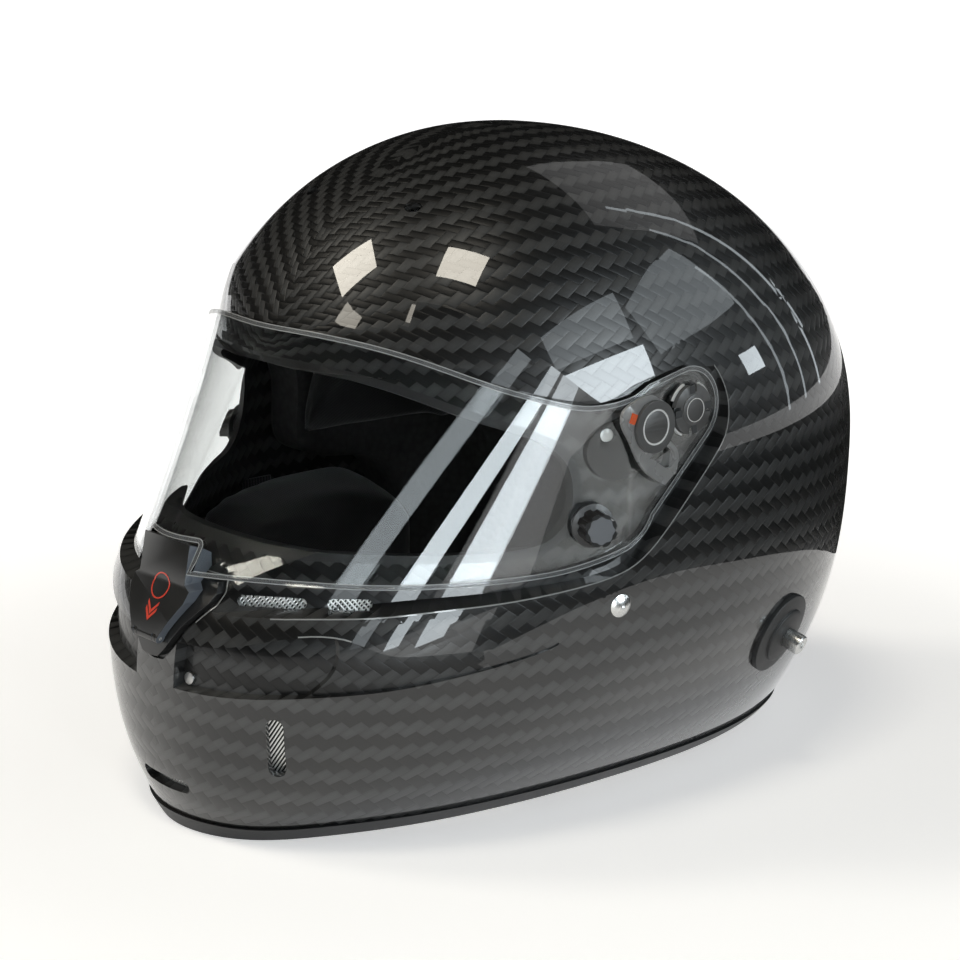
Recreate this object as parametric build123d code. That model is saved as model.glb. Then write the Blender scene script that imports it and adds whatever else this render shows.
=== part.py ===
from build123d import *
import os
from math import atan, cos, degrees, hypot, pi, radians, sin, sqrt

# Full-face racing helmet, millimetres. +Z is up, the wearer looks along -Y and the
# wearer's left is +X. The helmet stands on its bottom trim at z = 0.

# Outer form of the laminate, read as level sections from the rim up to the crown.
crown_height = 267.9
beam_height = 131.0
half_width = 125.2
back_reach = 172.9
brow_reach = 129.8
chin_reach = 173.3
crown_shift = 3.3
rim_arch = 5.8
rim_arch_power = 0.8
section_power = 2.21
tuck_side_share = 0.377
tuck_side_power = 2.82
tuck_back_share = 0.108
tuck_back_power = 1.95
dome_side_power = 0.967
dome_front_power = 0.964
dome_back_power = 1.053
# Height over beam height and reach over chin reach, from below the rim up to the beam.
face_line_shares = [
    (-0.12, 0.880), (0.0, 0.928), (0.22, 0.990), (0.5, 1.0), (0.65, 0.981), (0.8, 0.908),
    (0.92, 0.800), (1.0, 0.749),
]
dome_angles = [15, 30, 45, 60, 74, 83, 88]
section_angles = [0, 20, 40, 60, 76, 90, 104, 120, 140, 160, 180]
nose_angles = [0, 12, 25, 40, 55, 70, 80, 86, 90]
overrun = 60.0
clearance = 0.3
running_gap = 0.05

# Laminate wall and rim trim.
wall = 4.0
trim_height = 6.0
trim_lap = 1.2
trim_seat = 2.4
rim_steps = 10

# Visor sheet: a flat arm each side and a raked, rounded front.
visor_thickness = 3.0
visor_side = 122.0
visor_bend_y = -36.0
visor_level = 100.0
visor_reach = 140.4
visor_rake = 0.586
visor_nose_power = 1.6
visor_side_power = 1.31
visor_top = 197.0
visor_bottom = 107.6
arm_radius = 16.7
notch_width = 31.6
notch_top = 119.0
notch_corner = 1.0

# Hinge and release hardware on the visor arms.
hinge_y = -6.7
hinge_z = 168.4
hinge_boss_radius = 6.0
hinge_disc_radius = 9.8
hinge_disc_thickness = 2.2
hinge_badge_radius = 5.9
hinge_badge_height = 0.6
hinge_notches = 4
hinge_notch_width = 3.6
hinge_notch_depth = 3.0
base_plate_thickness = 2.0
base_hub_radius = 12.5
base_foot_y = -40.5
base_foot_z = 155.5
base_foot_radius = 11.0
base_screw_y = -44.4
base_screw_z = 162.2
disc_peg_radius = 3.0
screw_head_radius = 2.6
screw_shank_radius = 1.5
screw_head_height = 1.2
cap_y = -27.5
cap_z = 164.5
cap_radius = 10.2
cap_thickness = 1.6
cap_boss_radius = 5.0
cap_ring_radius = 7.0
cap_ring_width = 0.8
cap_ring_depth = 0.3
lever_thickness = 1.4
lever_gap = 0.15
lever_eye_radius = 10.6
lever_span = 24.0
indicator_width = 2.6
indicator_length = 4.0
indicator_height = 0.8
indicator_angle = 158.0

# Recess in the laminate for the visor, and the eye port.
pocket_gap = 2.6
pocket_front_extra = 1.0
pocket_round = 23.6
pocket_top = 192.0
brow_swing_gap = 1.5
brow_share = 0.92
brow_band_share = 0.35
swing_rounds = 12
swing_shares = [0.0, 0.15, 0.3, 0.45, 0.6, 0.75, 0.87, 0.93, 0.97]
gasket_width = 3.2

# Latch at the foot of the visor.
latch_half_width = 15.0
latch_head_back = -155.0
latch_pin_y = -175.4
latch_pin_z = 82.0
latch_swing_radius = 37.9
latch_barrel_radius = 2.0
latch_pin_radius = 0.7
latch_pin_length = 17.0
latch_ear_width = 2.0
latch_ear_at = 6.2
latch_base_proud = 2.4
latch_bed_depth = 1.6
latch_base_half = 25.0
latch_base_foot = 73.5
latch_base_height = 31.0

# Openings in the laminate and the mesh plates behind them.
brow_hole_x = 32.0
brow_hole_z = 241.5
brow_hole_long = 7.5
brow_hole_short = 5.4
ledge_slot_height = 4.2
ledge_slot_z = 99.4
ledge_slot_x = 43.0
ledge_slot_width = 27.0
ledge_outer_x = 64.6
ledge_outer_width = 17.0
cheek_slot_x = 54.0
cheek_slot_z = 45.5
cheek_slot_long = 25.0
cheek_slot_wide = 7.0
foot_slot_z = 21.0
foot_slot_long = 30.0
foot_slot_wide = 6.0
mesh_thickness = 0.8
mesh_lap = 1.9
slot_through_share = 2.5

# Scooped channel each side of the chin, with a step across it.
channel_depth = 5.0
channel_tail_depth = 3.0
channel_screw_x = 16.5
channel_screw_z = 66.6
channel_screw_radius = 2.4

# Head-restraint anchors.
anchor_y = 66.0
anchor_z = 60.5
anchor_radius = 18.0
anchor_step_radius = 12.0
anchor_collar_radius = 6.6
anchor_edge = 1.0
anchor_rise = 2.0
anchor_step = 3.0
anchor_bed_depth = 1.2
post_radius = 4.3
post_height = 11.5
post_bore_radius = 1.6
post_shank_radius = 3.0
post_chamfer = 0.5
nut_radius = 5.4
nut_height = 3.0

# Chin strap, its rivets and rings.
rivet_y = -40.2
rivet_z = 95.5
rivet_radius = 4.8
rivet_height = 1.8
rivet_shank_radius = 2.4
strap_width = 16.0
strap_thickness = 2.0
strap_inset = 7.2
strap_low = 12.0
strap_end = 24.0
ring_wire = 1.4
ring_inner = 10.0
ring_spacing = 3.8
ring_loop_radius = 3.9

# Tear-off posts on the visor.
post_y = -52.0
post_z = 128.5
washer_radius = 8.5
washer_thickness = 1.2
knob_radius = 6.5
knob_height = 9.0
knob_face = 1.0
knob_lobes = 8
knob_lobe_radius = 1.3
knob_lobe_place = 6.93
stud_radius = 1.9
stud_head_radius = 3.6
stud_head_height = 1.0

# Foam and lining.
foam_gap = 2.0
brow_foam_gap = 1.0
nut_pocket_gap = 1.0
duct_lap = 3.75
liner_inner = 30.0
liner_foot = 24.0
comfort_thickness = 8.0
comfort_foot = 120.0
comfort_channel = 9.0
comfort_channel_depth = 4.0
chin_liner_outer = 6.2
chin_liner_inner = 20.0
chin_liner_foot = 12.0
chin_liner_top = 90.0
chin_liner_back = -98.0
pad_inset = 10.2
pad_inner = 62.0
pad_front = -90.0
pad_back = 20.0
pad_foot = 19.0
pad_top = 104.0
pad_crown = 9.0
pad_round = 24.0
roll_inset = 9.0
roll_depth = 25.0
roll_foot = 1.5
roll_top = 23.8
roll_front = 30.0


# Side view outline of the visor: top edge to the arm, and lower edge from the arm.
visor_top_shares = [
    (-0.629, 0.7295), (-0.577, 0.7175), (-0.516, 0.6980), (-0.444, 0.6757), (-0.375, 0.6600),
    (-0.312, 0.6508), (-0.256, 0.6536), (-0.164, 0.6750),
]
visor_lower_shares = [
    (-0.140, 0.4800), (-0.173, 0.4535), (-0.216, 0.4378), (-0.273, 0.4252), (-0.365, 0.4106),
    (-0.490, 0.4020), (-0.604, 0.3975), (-0.721, 0.3968), (-0.837, 0.4001), (-0.940, 0.4016),
]
# Side view outline of the eye port, from its top edge round its rear to its sill.
port_shares = [
    (-0.700, 0.6880), (-0.577, 0.6700), (-0.480, 0.6380), (-0.404, 0.6180), (-0.343, 0.5960),
    (-0.308, 0.5630), (-0.299, 0.5300), (-0.303, 0.4990), (-0.325, 0.4680), (-0.365, 0.4440),
    (-0.425, 0.4330), (-0.520, 0.4280), (-0.700, 0.4274), (-0.860, 0.4274),
]
# Side view of the recess lip below and behind the visor, from the front to the arm.
lip_shares = [
    (-1.060, 0.3460), (-0.945, 0.3510), (-0.853, 0.3620), (-0.741, 0.3690), (-0.654, 0.3760),
    (-0.522, 0.3830), (-0.391, 0.3910), (-0.288, 0.3995), (-0.200, 0.4150), (-0.117, 0.4560),
    (-0.043, 0.5050),
]
# Shares of the chin reach (y) and crown height (z) along the chin channel, seen from the side.
channel_top_shares = [
    (-1.02, 0.2990), (-0.982, 0.3020), (-0.908, 0.3266), (-0.799, 0.3367), (-0.737, 0.3177),
    (-0.674, 0.3147), (-0.383, 0.3132),
]
channel_low_shares = [
    (-0.596, 0.2800), (-0.752, 0.2617), (-0.870, 0.2508), (-0.981, 0.2363), (-1.02, 0.2310),
]
channel_step_shares = [
    (-0.811, 0.360), (-0.806, 0.312), (-0.822, 0.280), (-0.848, 0.255), (-0.868, 0.225),
]
channel_start_share = 0.10
# Shares of the latch base's half width (x) and height above its foot (z).
latch_base_shares = [
    (0, 0), (0.20, 0.016), (0.34, 0.129), (0.64, 0.468), (0.98, 0.774), (1.02, 0.887), (0.92, 1.0),
]
# Shares of the latch lever's half width and of the latch base's height, above the base's foot.
latch_lever_shares = [
    (0, 0.12), (0.50, 0.20), (0.63, 0.34), (1.18, 0.76), (1.23, 0.90), (1.0, 0.965), (1.0, 2.0),
    (0, 2.0),
]
# Shares of the latch's swing radius, back from and above its pin, down the lever's front.
latch_front_shares = [(0.261, 0.966), (0.177, 0.517), (0.010, 0.200), (-0.053, 0.0)]
latch_head_shares = [(0.538, 0.843), (0.538, 0.62), (0.60, 0.20)]
latch_arc_share = 0.9166
# Heights of the webbing between the rivet and its low run, and its places under the chin.
strap_height_shares = [0.72, 0.46, 0.24, 0.08]
strap_flat_shares = [0.82, 0.60, 0.30]
stud_depth_share = 1.15
comfort_channel_shares = [-0.30, 0.0, 0.30]
# How far a cheek pad's outline is drawn in, from its inner face outwards, as shares of its crown.
pad_crown_shares = [(0.0, 1.0), (0.35, 0.35), (1.0, 0.0)]
roll_bulge_shares = [(-0.1, 0.72), (0.2, 0.93), (0.5, 1.0), (0.75, 0.93), (1.05, 0.70)]
# Shares of the release lever's span, from the cap's centre, round the lever and its window.
lever_outer_shares = [
    (0.200, 0.340), (-0.020, 0.505), (-0.190, 0.512), (-0.480, 0.420), (-0.662, 0.300),
    (-0.665, 0.080), (-0.545, -0.110), (-0.360, -0.433), (-0.165, -0.690), (0.080, -0.880),
    (0.310, -1.0),
]
lever_strand_shares = [
    (0.563, -0.817), (0.600, -0.654), (0.604, -0.533), (0.500, -0.375), (0.325, -0.250),
]
lever_window_shares = [
    (-0.067, -0.520), (0.200, -0.654), (0.392, -0.735), (0.512, -0.630), (0.520, -0.540),
    (0.430, -0.420), (0.270, -0.330),
]
liner_edge_shares = [
    (-0.76, 0.710), (-0.60, 0.708), (-0.42, 0.680), (-0.27, 0.625), (-0.20, 0.540), (-0.19, 0.450),
    (-0.05, 0.412), (0.10, 0.390), (0.17, 0.280), (0.19, 0.160), (0.24, 0.090),
]


def face_reach(z):
    """Reach of the face line below the beam, read between its shares by straight lines."""
    at = z / beam_height
    for (low, near), (high, far) in zip(face_line_shares, face_line_shares[1:]):
        if at <= high:
            return chin_reach * (near + (far - near) * (at - low) / (high - low))
    return brow_reach


def level_form(z, inset=0.0):
    """Half width, front reach, back reach and centre of the level section at height z."""
    top = crown_height - inset
    if z >= beam_height:
        rise = min((z - beam_height) / (top - beam_height), 1.0)
        level = sqrt(1 - rise * rise)
        side = (half_width - inset) * level**dome_side_power
        front = (brow_reach - inset) * level**dome_front_power
        back = (back_reach - inset) * level**dome_back_power
        return side, front, back, crown_shift * rise
    drop_side = (beam_height - z) / (beam_height - rim_arch)
    drop = (beam_height - z) / beam_height
    side = half_width * (1 - tuck_side_share * drop_side**tuck_side_power) - inset
    back = back_reach * (1 - tuck_back_share * drop**tuck_back_power) - inset
    return side, face_reach(z) - inset, back, 0.0


def level_points(z, inset, angles):
    """Left half of a level section, from its front to its back on the centre plane."""
    side, front, back, centre = level_form(z, inset)
    points = [(0, centre - front, z)]
    for angle in angles[1:-1]:
        across, along = abs(sin(radians(angle))), cos(radians(angle))
        reach = -front if along > 0 else back
        y = centre + reach * abs(along) ** (2 / section_power)
        points.append((side * across ** (2 / section_power), y, z))
    return points + [(0, centre + back, z)]


def form_heights(inset):
    """Heights of the level sections, from below the rim to just under the top."""
    top = crown_height - inset
    heights = [share * beam_height for share, reach in face_line_shares]
    return heights + [beam_height + (top - beam_height) * sin(radians(a)) for a in dome_angles]


def led_spline(points, start, end):
    """Spline through points that leaves and arrives along given unit directions."""
    return Spline(*points, tangents=[start, end], tangent_scalars=[1.0, 1.0]).edge()


def level_wire(z, inset):
    """Closed level section: one spline half and its mirror image."""
    left = led_spline(level_points(z, inset, section_angles), (1, 0, 0), (-1, 0, 0))
    return Wire([left, left.mirror(Plane.YZ)])


def helmet_form(inset=0.0):
    """Solid of the helmet's outer form, drawn in by inset all round."""
    return Solid.make_loft([level_wire(z, inset) for z in form_heights(inset)])


def skin_point(y, z, inset=0.0):
    """Point of the left side of the form at a given y and z."""
    side, front, back, centre = level_form(z, inset)
    reach = front if y < centre else back
    x = side * max(1 - (abs(y - centre) / reach) ** section_power, 0) ** (1 / section_power)
    return Vector(x, y, z)


def skin_plane(y, z, inset=0.0):
    """Plane on the left side of the form, its z axis along the outward normal."""
    step = wall / 2
    origin = skin_point(y, z, inset)
    along = skin_point(y + step, z, inset) - skin_point(y - step, z, inset)
    upward = skin_point(y, z + step, inset) - skin_point(y, z - step, inset)
    return Plane(origin=origin, x_dir=along, z_dir=along.cross(upward))


def face_point(x, z, inset=0.0):
    """Point of the front of the form at a given x and z."""
    side, front, back, centre = level_form(z, inset)
    y = centre - front * (1 - (abs(x) / side) ** section_power) ** (1 / section_power)
    return Vector(x, y, z)


def side_prism(outline):
    """Prism through the whole helmet of an outline drawn in the side view (y, z)."""
    return extrude(Plane.YZ * outline, amount=half_width + overrun, both=True)


def front_prism(outline, depth):
    """Prism of an outline drawn in the front view (x, z), from the centre out forwards."""
    return extrude(Plane.XZ * outline, amount=depth)


def side_points(shares):
    """Side view points from shares of the chin reach and the crown height."""
    return [(y * chin_reach, z * crown_height) for y, z in shares]


def mirrored(shape):
    return mirror(shape, about=Plane.YZ)


def shifted(points, amount):
    """A run of side view points moved to its left by an amount."""
    moved = []
    for index, (y, z) in enumerate(points):
        before, after = points[max(index - 1, 0)], points[min(index + 1, len(points) - 1)]
        run, rise = after[0] - before[0], after[1] - before[1]
        span = hypot(run, rise)
        moved.append((y - rise / span * amount, z + run / span * amount))
    return moved


def front_closed(points, top, bottom):
    """Face between a run of side view points and the open space in front of the helmet."""
    ahead = -(chin_reach + overrun)
    first, last = points[0], points[-1]
    line = Spline(*points)
    close = Polyline(last, (ahead, bottom), (ahead, top), first)
    return make_face([line, close])


def tangent_point(centre, radius, point, turn):
    """Point where a line from point touches a circle, to one side (turn is 1 or -1)."""
    dy, dz = point[0] - centre[0], point[1] - centre[1]
    span = hypot(dy, dz)
    fall = radius * radius / span
    out = radius * sqrt(1 - (radius / span) ** 2)
    return (
        centre[0] + (dy * fall - turn * dz * out) / span,
        centre[1] + (dz * fall + turn * dy * out) / span,
    )


def visor_outline():
    """Side view of the visor with its round arm end."""
    hinge = (hinge_y, hinge_z)
    top, lower = side_points(visor_top_shares), side_points(visor_lower_shares)
    above = tangent_point(hinge, arm_radius, top[-1], -1)
    below = tangent_point(hinge, arm_radius, lower[0], 1)
    ahead = -(chin_reach + overrun)
    upper = Spline((-brow_reach, visor_top), *top)
    under = Spline(*lower)
    loop = [
        Line((ahead, visor_top), (-brow_reach, visor_top)),
        upper,
        Line(top[-1], above),
        Line(above, below),
        Line(below, lower[0]),
        under,
        Polyline(lower[-1], (ahead, visor_bottom), (ahead, visor_top)),
    ]
    return make_face(loop) + Pos(*hinge) * Circle(arm_radius)


def nose_points(side, reach, z):
    """Left half of the visor's rounded front at height z, from its nose to the bend."""
    points = [(0, visor_bend_y - reach, z)]
    for angle in nose_angles[1:-1]:
        x = side * sin(radians(angle)) ** (2 / visor_nose_power)
        y = visor_bend_y - reach * cos(radians(angle)) ** (2 / visor_side_power)
        points.append((x, y, z))
    return points + [(side, visor_bend_y, z)]


def visor_wire(z, inset_side, inset_front):
    """Level section of the visor form, run straight back behind the bend.

    Every section is spaced along its front as the one at visor_level is, so that the
    sections are one curve drawn out to different reaches.
    """
    spaced = [Vector(*point) for point in nose_points(visor_side, visor_reach, 0)]
    marks = [0.0]
    for near, far in zip(spaced, spaced[1:]):
        marks.append(marks[-1] + (far - near).length)
    side = visor_side - inset_side
    reach = visor_reach - visor_rake * (z - visor_level) - inset_front
    left = Edge.make_spline(
        [Vector(*point) for point in nose_points(side, reach, z)],
        tangents=[Vector(side / visor_side, 0, 0), Vector(0, reach / visor_reach, 0)],
        parameters=marks,
        scale=False,
    )
    rear = hinge_y + overrun
    corners = [(side, visor_bend_y), (side, rear), (-side, rear), (-side, visor_bend_y)]
    back = Polyline(*[(x, y, z) for x, y in corners])
    return Wire([left, *back.edges(), left.mirror(Plane.YZ)])


def visor_form(depth=0.0, front_extra=0.0):
    """Solid bounded by the visor's outer face, drawn in by a depth square to the sheet."""
    lean = cos(atan(visor_rake))
    low, high = visor_bottom - overrun, visor_top + overrun
    wires = [visor_wire(z, depth, depth / lean + front_extra) for z in (low, high)]
    return Solid.make_loft(wires, ruled=True)


def recess_form(extra=0.0):
    """Floor of the visor recess: the visor's inner face drawn in by the running gap."""
    return visor_form(visor_thickness + pocket_gap + extra, pocket_front_extra)


def recess_outline(grow=0.0):
    """Side view of the recess: its lip, the round about the hinge and the open front."""
    lip = shifted(side_points(lip_shares), -grow)
    top = pocket_top + grow
    below = tangent_point((hinge_y, hinge_z), pocket_round + grow, lip[-1], 1)
    port_top = port_shares[0][1] * crown_height + grow
    ahead = -(chin_reach + overrun)
    brow = -brow_reach * brow_share
    loop = [
        Spline(*lip),
        Line(lip[-1], below),
        Line(below, (hinge_y, hinge_z)),
        Line((hinge_y, hinge_z), (hinge_y, top)),
        Polyline((hinge_y, top), (brow, port_top), (ahead, port_top), (ahead, lip[0][1]), lip[0]),
    ]
    return make_face(loop) + Pos(hinge_y, hinge_z) * Circle(pocket_round + grow)


def top_edge_height(y):
    """Height of the visor's top edge at a given y."""
    points = [(-brow_reach, visor_top)] + side_points(visor_top_shares)
    for (near, high), (far, low) in zip(points, points[1:]):
        if y <= far:
            return high + (low - high) * max(y - near, 0) / (far - near)
    return points[-1][1]


def swing_radius(share):
    """Distance from the hinge axis to the visor's inner top edge, at a share of its width."""
    side = visor_side - visor_thickness
    lean = cos(atan(visor_rake))
    z = visor_top
    for _ in range(swing_rounds):
        reach = visor_reach - visor_rake * (z - visor_level) - visor_thickness / lean
        y = visor_bend_y - reach * (1 - share**visor_nose_power) ** (1 / visor_side_power)
        z = top_edge_height(y)
    return side * share, hypot(y - hinge_y, z - hinge_z)


def swing_form(inset):
    """Solid of revolution about the hinge axis that the visor's top edge just clears."""
    half = [(x, r - inset) for x, r in (swing_radius(share) for share in swing_shares)]
    curve = [(-x, r) for x, r in reversed(half[1:])] + half
    arm = (visor_side, arm_radius)
    foot = Polyline(half[-1], arm, (visor_side, 0), (-visor_side, 0), (-visor_side, arm_radius), curve[0])
    profile = make_face([Spline(*curve), foot])
    turned = revolve(Plane.XY * profile, axis=Axis.X)
    return Pos(0, hinge_y, hinge_z) * turned


def brow_band():
    """Prism over the brow in which the swinging visor sets the skin back."""
    low = port_shares[0][1] * crown_height - gasket_width
    high = visor_top + brow_band_share * (crown_height - visor_top)
    ahead = -(chin_reach + overrun)
    back = visor_bend_y
    return side_prism(filled([(ahead, low), (ahead, high), (back, high), (back, low)]))


def both_sides(shape):
    """A left side solid and its mirror image."""
    return [shape, mirrored(shape)]


def filled(points):
    """Face bounded by a closed run of straight lines."""
    return make_face(Polyline(*points, close=True))


def rim_face(raise_by):
    """Side view of everything below the rim curve, raised by a height."""
    front, back = -face_reach(0), back_reach * (1 - tuck_back_share)
    run = []
    for step in range(rim_steps + 1):
        share = step / rim_steps
        lift = rim_arch * sin(pi * share**rim_arch_power) if 0 < share < 1 else 0.0
        run.append((front + (back - front) * share, lift + raise_by))
    far = overrun
    curve = led_spline(run, (1, 0), (1, 0))
    low = [(back + far, -far), (front - far, -far)]
    frame = Polyline(run[-1], (back + far, raise_by), *low, (front - far, raise_by), run[0])
    return make_face([curve, frame])


def at_face(x, z, inset=0.0):
    """Plane on the front of the form at x, z: local x across, local z outwards."""
    step = wall / 2
    origin = face_point(x, z, inset)
    across = face_point(x + step, z, inset) - face_point(x - step, z, inset)
    upward = face_point(x, z + step, inset) - face_point(x, z - step, inset)
    return Plane(origin=origin, x_dir=across, z_dir=across.cross(upward))


def recess_point(x, z, extra=0.0):
    """Point of the recess floor at a given x and z, and the plane on it."""
    depth = visor_thickness + pocket_gap + extra
    side = visor_side - depth
    lean = cos(atan(visor_rake))
    reach = visor_reach - visor_rake * (z - visor_level) - depth / lean - pocket_front_extra
    y = visor_bend_y - reach * (1 - (abs(x) / side) ** visor_nose_power) ** (1 / visor_side_power)
    return Vector(x, y, z)


def at_recess(x, z):
    step = wall / 2
    across = recess_point(x + step, z) - recess_point(x - step, z)
    upward = recess_point(x, z + step) - recess_point(x, z - step)
    return Plane(origin=recess_point(x, z), x_dir=across, z_dir=across.cross(upward))


def slot_cut(plane, long, wide, upright=False):
    """Round-ended slot driven through the laminate about a plane on its surface."""
    outline = SlotOverall(long, wide, rotation=90 if upright else 0)
    return extrude(plane * outline, amount=wall * slot_through_share, both=True)


def mesh_plate(plane, long, wide, layer, upright=False):
    """Mesh plate about a plane on the laminate, cut from the thin layer behind it."""
    outline = SlotOverall(long + 2 * mesh_lap, wide + 2 * mesh_lap, rotation=90 if upright else 0)
    return extrude(plane * outline, amount=-wall * slot_through_share) & layer


# Solids that several pieces share.
skin = helmet_form()
lining_face = helmet_form(wall)
recess_prism = side_prism(recess_outline())
recess_room = side_prism(recess_outline(wall))
recess_floor = recess_form()
recess_back = recess_form(wall)


def port_prism(inset=0.0):
    """Prism of the eye port, drawn in by inset."""
    run = shifted(side_points(port_shares), -inset)
    return side_prism(front_closed(run, run[0][1], run[-1][1]))


port = port_prism()


def scoop_face(grow=0.0):
    """Side view of a chin channel."""
    run = shifted(side_points(channel_top_shares + channel_low_shares), grow)
    return make_face([Spline(*run), Line(run[-1], run[0])])


channel_start = channel_start_share * half_width
scoop_prism = extrude(Plane.YZ.offset(channel_start) * scoop_face(), amount=half_width)
scoop_room = extrude(Plane.YZ * scoop_face(wall), amount=half_width)
step_run = side_points(channel_step_shares)
ahead = -(chin_reach + overrun)
step_front = Polyline(step_run[-1], (ahead, step_run[-1][1]), (ahead, step_run[0][1]), step_run[0])
step_face = make_face([Spline(*step_run), step_front])
step_prism = extrude(Plane.YZ * step_face, amount=half_width)
channel_front = (scoop_prism & step_prism) - Pos(0, channel_depth, 0) * skin
channel_tail = (scoop_prism - step_prism) - Pos(0, channel_tail_depth, 0) * skin
channels = [cut for half in (channel_front, channel_tail) for cut in both_sides(half)]
channel_rooms = both_sides(scoop_room - Pos(0, channel_depth, 0) * lining_face)

brow = brow_band()
body_form = skin - (recess_prism - recess_floor) - (brow - swing_form(brow_swing_gap))
hollow = lining_face - (recess_room - recess_back) - (brow - swing_form(brow_swing_gap + wall))
for cut in channels:
    body_form -= cut
for room in channel_rooms:
    hollow -= room
below_lip = side_prism(rim_face(trim_seat))
laminate = body_form - hollow - below_lip

# Rubber bead round the eye port.
eyeport_gasket = (laminate & port) - port_prism(gasket_width)

# Openings in the laminate and the mesh behind them.
mesh_front = wall + clearance
mesh_back = mesh_front + mesh_thickness
form_layer = helmet_form(mesh_front) - helmet_form(mesh_back)
recess_layer = recess_form(mesh_front) - recess_form(mesh_back)
cuts, plates = {}, {}
brow_hole_face = Ellipse(brow_hole_long / 2, brow_hole_short / 2)
for x in (brow_hole_x, -brow_hole_x):
    plane = at_face(x, brow_hole_z)
    cuts[("brow", x)] = extrude(plane * brow_hole_face, amount=wall * slot_through_share, both=True)
    plates[("brow", x)] = mesh_plate(plane, brow_hole_long, brow_hole_short, form_layer)
for x, wide in ((ledge_slot_x, ledge_slot_width), (ledge_outer_x, ledge_outer_width)):
    for side in (x, -x):
        plane = at_recess(side, ledge_slot_z)
        cuts[("ledge", side)] = slot_cut(plane, wide, ledge_slot_height)
        plates[("ledge", side)] = mesh_plate(plane, wide, ledge_slot_height, recess_layer)
for x in (cheek_slot_x, -cheek_slot_x):
    plane = at_face(x, cheek_slot_z)
    cuts[("cheek", x)] = slot_cut(plane, cheek_slot_long, cheek_slot_wide, upright=True)
    plates[("cheek", x)] = mesh_plate(plane, cheek_slot_long, cheek_slot_wide, form_layer, upright=True)
plane = at_face(0, foot_slot_z)
cuts[("foot", 0)] = slot_cut(plane, foot_slot_long, foot_slot_wide)
plates[("foot", 0)] = mesh_plate(plane, foot_slot_long, foot_slot_wide, form_layer)
meshes = {
    name: Compound([plate for (place, x), plate in plates.items() if place == name])
    for name in ("brow", "ledge", "cheek", "foot")
}


def visor_x(y, z, depth=0.0):
    """Half width of the visor form at a given y and z."""
    side = visor_side - depth
    reach = visor_reach - visor_rake * (z - visor_level) - depth / cos(atan(visor_rake))
    share = max(visor_bend_y - y, 0) / reach
    return side * (1 - share**visor_side_power) ** (1 / visor_nose_power)


def at_visor(y, z, depth=0.0):
    """Plane on the left side of the visor form at y, z, its z axis outwards."""
    step = wall / 2
    along = Vector(visor_x(y + step, z, depth) - visor_x(y - step, z, depth), 2 * step, 0)
    upward = Vector(visor_x(y, z + step, depth) - visor_x(y, z - step, depth), 0, 2 * step)
    return Plane(origin=(visor_x(y, z, depth), y, z), x_dir=along, z_dir=along.cross(upward))


def side_pin(radius, y, z, start, length):
    """Round pin along X, from a start outwards."""
    return extrude(Plane.YZ.offset(start) * Pos(y, z) * Circle(radius), amount=length)


def post(plane, radius, start, length):
    """Round pin along a plane's normal."""
    return extrude(plane.offset(start) * Circle(radius), amount=length)


# Visor: clear sheet with a notch for the latch and holes for its hinge, cap and studs.
notch = extrude(
    Plane.XZ * Pos(0, (notch_top + visor_bottom - overrun) / 2)
    * RectangleRounded(notch_width, notch_top - visor_bottom + overrun, notch_corner),
    amount=visor_reach + overrun,
)
visor_sheet = (visor_form() - visor_form(visor_thickness)) & side_prism(visor_outline())
stud_plane = at_visor(post_y, post_z)
visor_holes = [
    side_pin(hinge_boss_radius + running_gap, hinge_y, hinge_z, half_width - overrun, 2 * overrun),
    side_pin(cap_boss_radius, cap_y, cap_z, half_width - overrun, 2 * overrun),
    post(stud_plane, stud_radius, -2 * visor_thickness, 3 * visor_thickness),
]
visor = visor_sheet - notch
for hole in visor_holes:
    for cut in both_sides(hole):
        visor -= cut

# Hinge base: a plate seated on the recess floor, with the boss that the visor turns on.
base_top = visor_thickness + pocket_gap - base_plate_thickness
base_hub = Pos(hinge_y, hinge_z) * Circle(base_hub_radius)
base_foot = Pos(base_foot_y, base_foot_z) * Circle(base_foot_radius)
base_face = make_hull((base_hub + base_foot).edges())
base_prism = extrude(Plane.YZ * base_face, amount=half_width)
hinge_base = (visor_form(base_top) & base_prism) - recess_floor
boss_start = visor_side - visor_thickness - pocket_gap
boss_length = visor_thickness + pocket_gap + clearance
hinge_base += side_pin(hinge_boss_radius, hinge_y, hinge_z, boss_start, boss_length)
peg_start = visor_side - visor_thickness
hinge_base -= side_pin(disc_peg_radius, hinge_y, hinge_z, peg_start, 2 * visor_thickness)
screw_plane = at_visor(base_screw_y, base_screw_z, base_top)
screw_seat = -clearance - screw_head_height
shank_length = base_plate_thickness + wall - 2 * clearance
hinge_shank = post(screw_plane, screw_shank_radius, screw_seat - shank_length, shank_length)
hinge_screw = post(screw_plane, screw_head_radius, screw_seat, screw_head_height)
hinge_base -= post(screw_plane, screw_head_radius, screw_seat, visor_thickness)
hinge_base -= hinge_shank
hinge_screws = Compound(both_sides(hinge_screw + hinge_shank))

# Hinge disc outside the visor, notched four times, its peg pressed into the boss.
disc_start = visor_side + clearance
hinge_disc = side_pin(hinge_disc_radius, hinge_y, hinge_z, disc_start, hinge_disc_thickness)
for turn in range(hinge_notches):
    cutter = Pos(hinge_disc_radius, 0) * Rectangle(2 * hinge_notch_depth, hinge_notch_width)
    turned = Rot(0, 0, 360 / hinge_notches * turn) * cutter
    face = Plane.YZ.offset(disc_start) * Pos(hinge_y, hinge_z) * turned
    hinge_disc -= extrude(face, amount=hinge_disc_thickness)
hinge_disc += side_pin(
    hinge_badge_radius, hinge_y, hinge_z, disc_start, hinge_disc_thickness + hinge_badge_height
)
peg_length = visor_thickness + clearance
hinge_disc += side_pin(disc_peg_radius, hinge_y, hinge_z, peg_start, peg_length)

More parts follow.
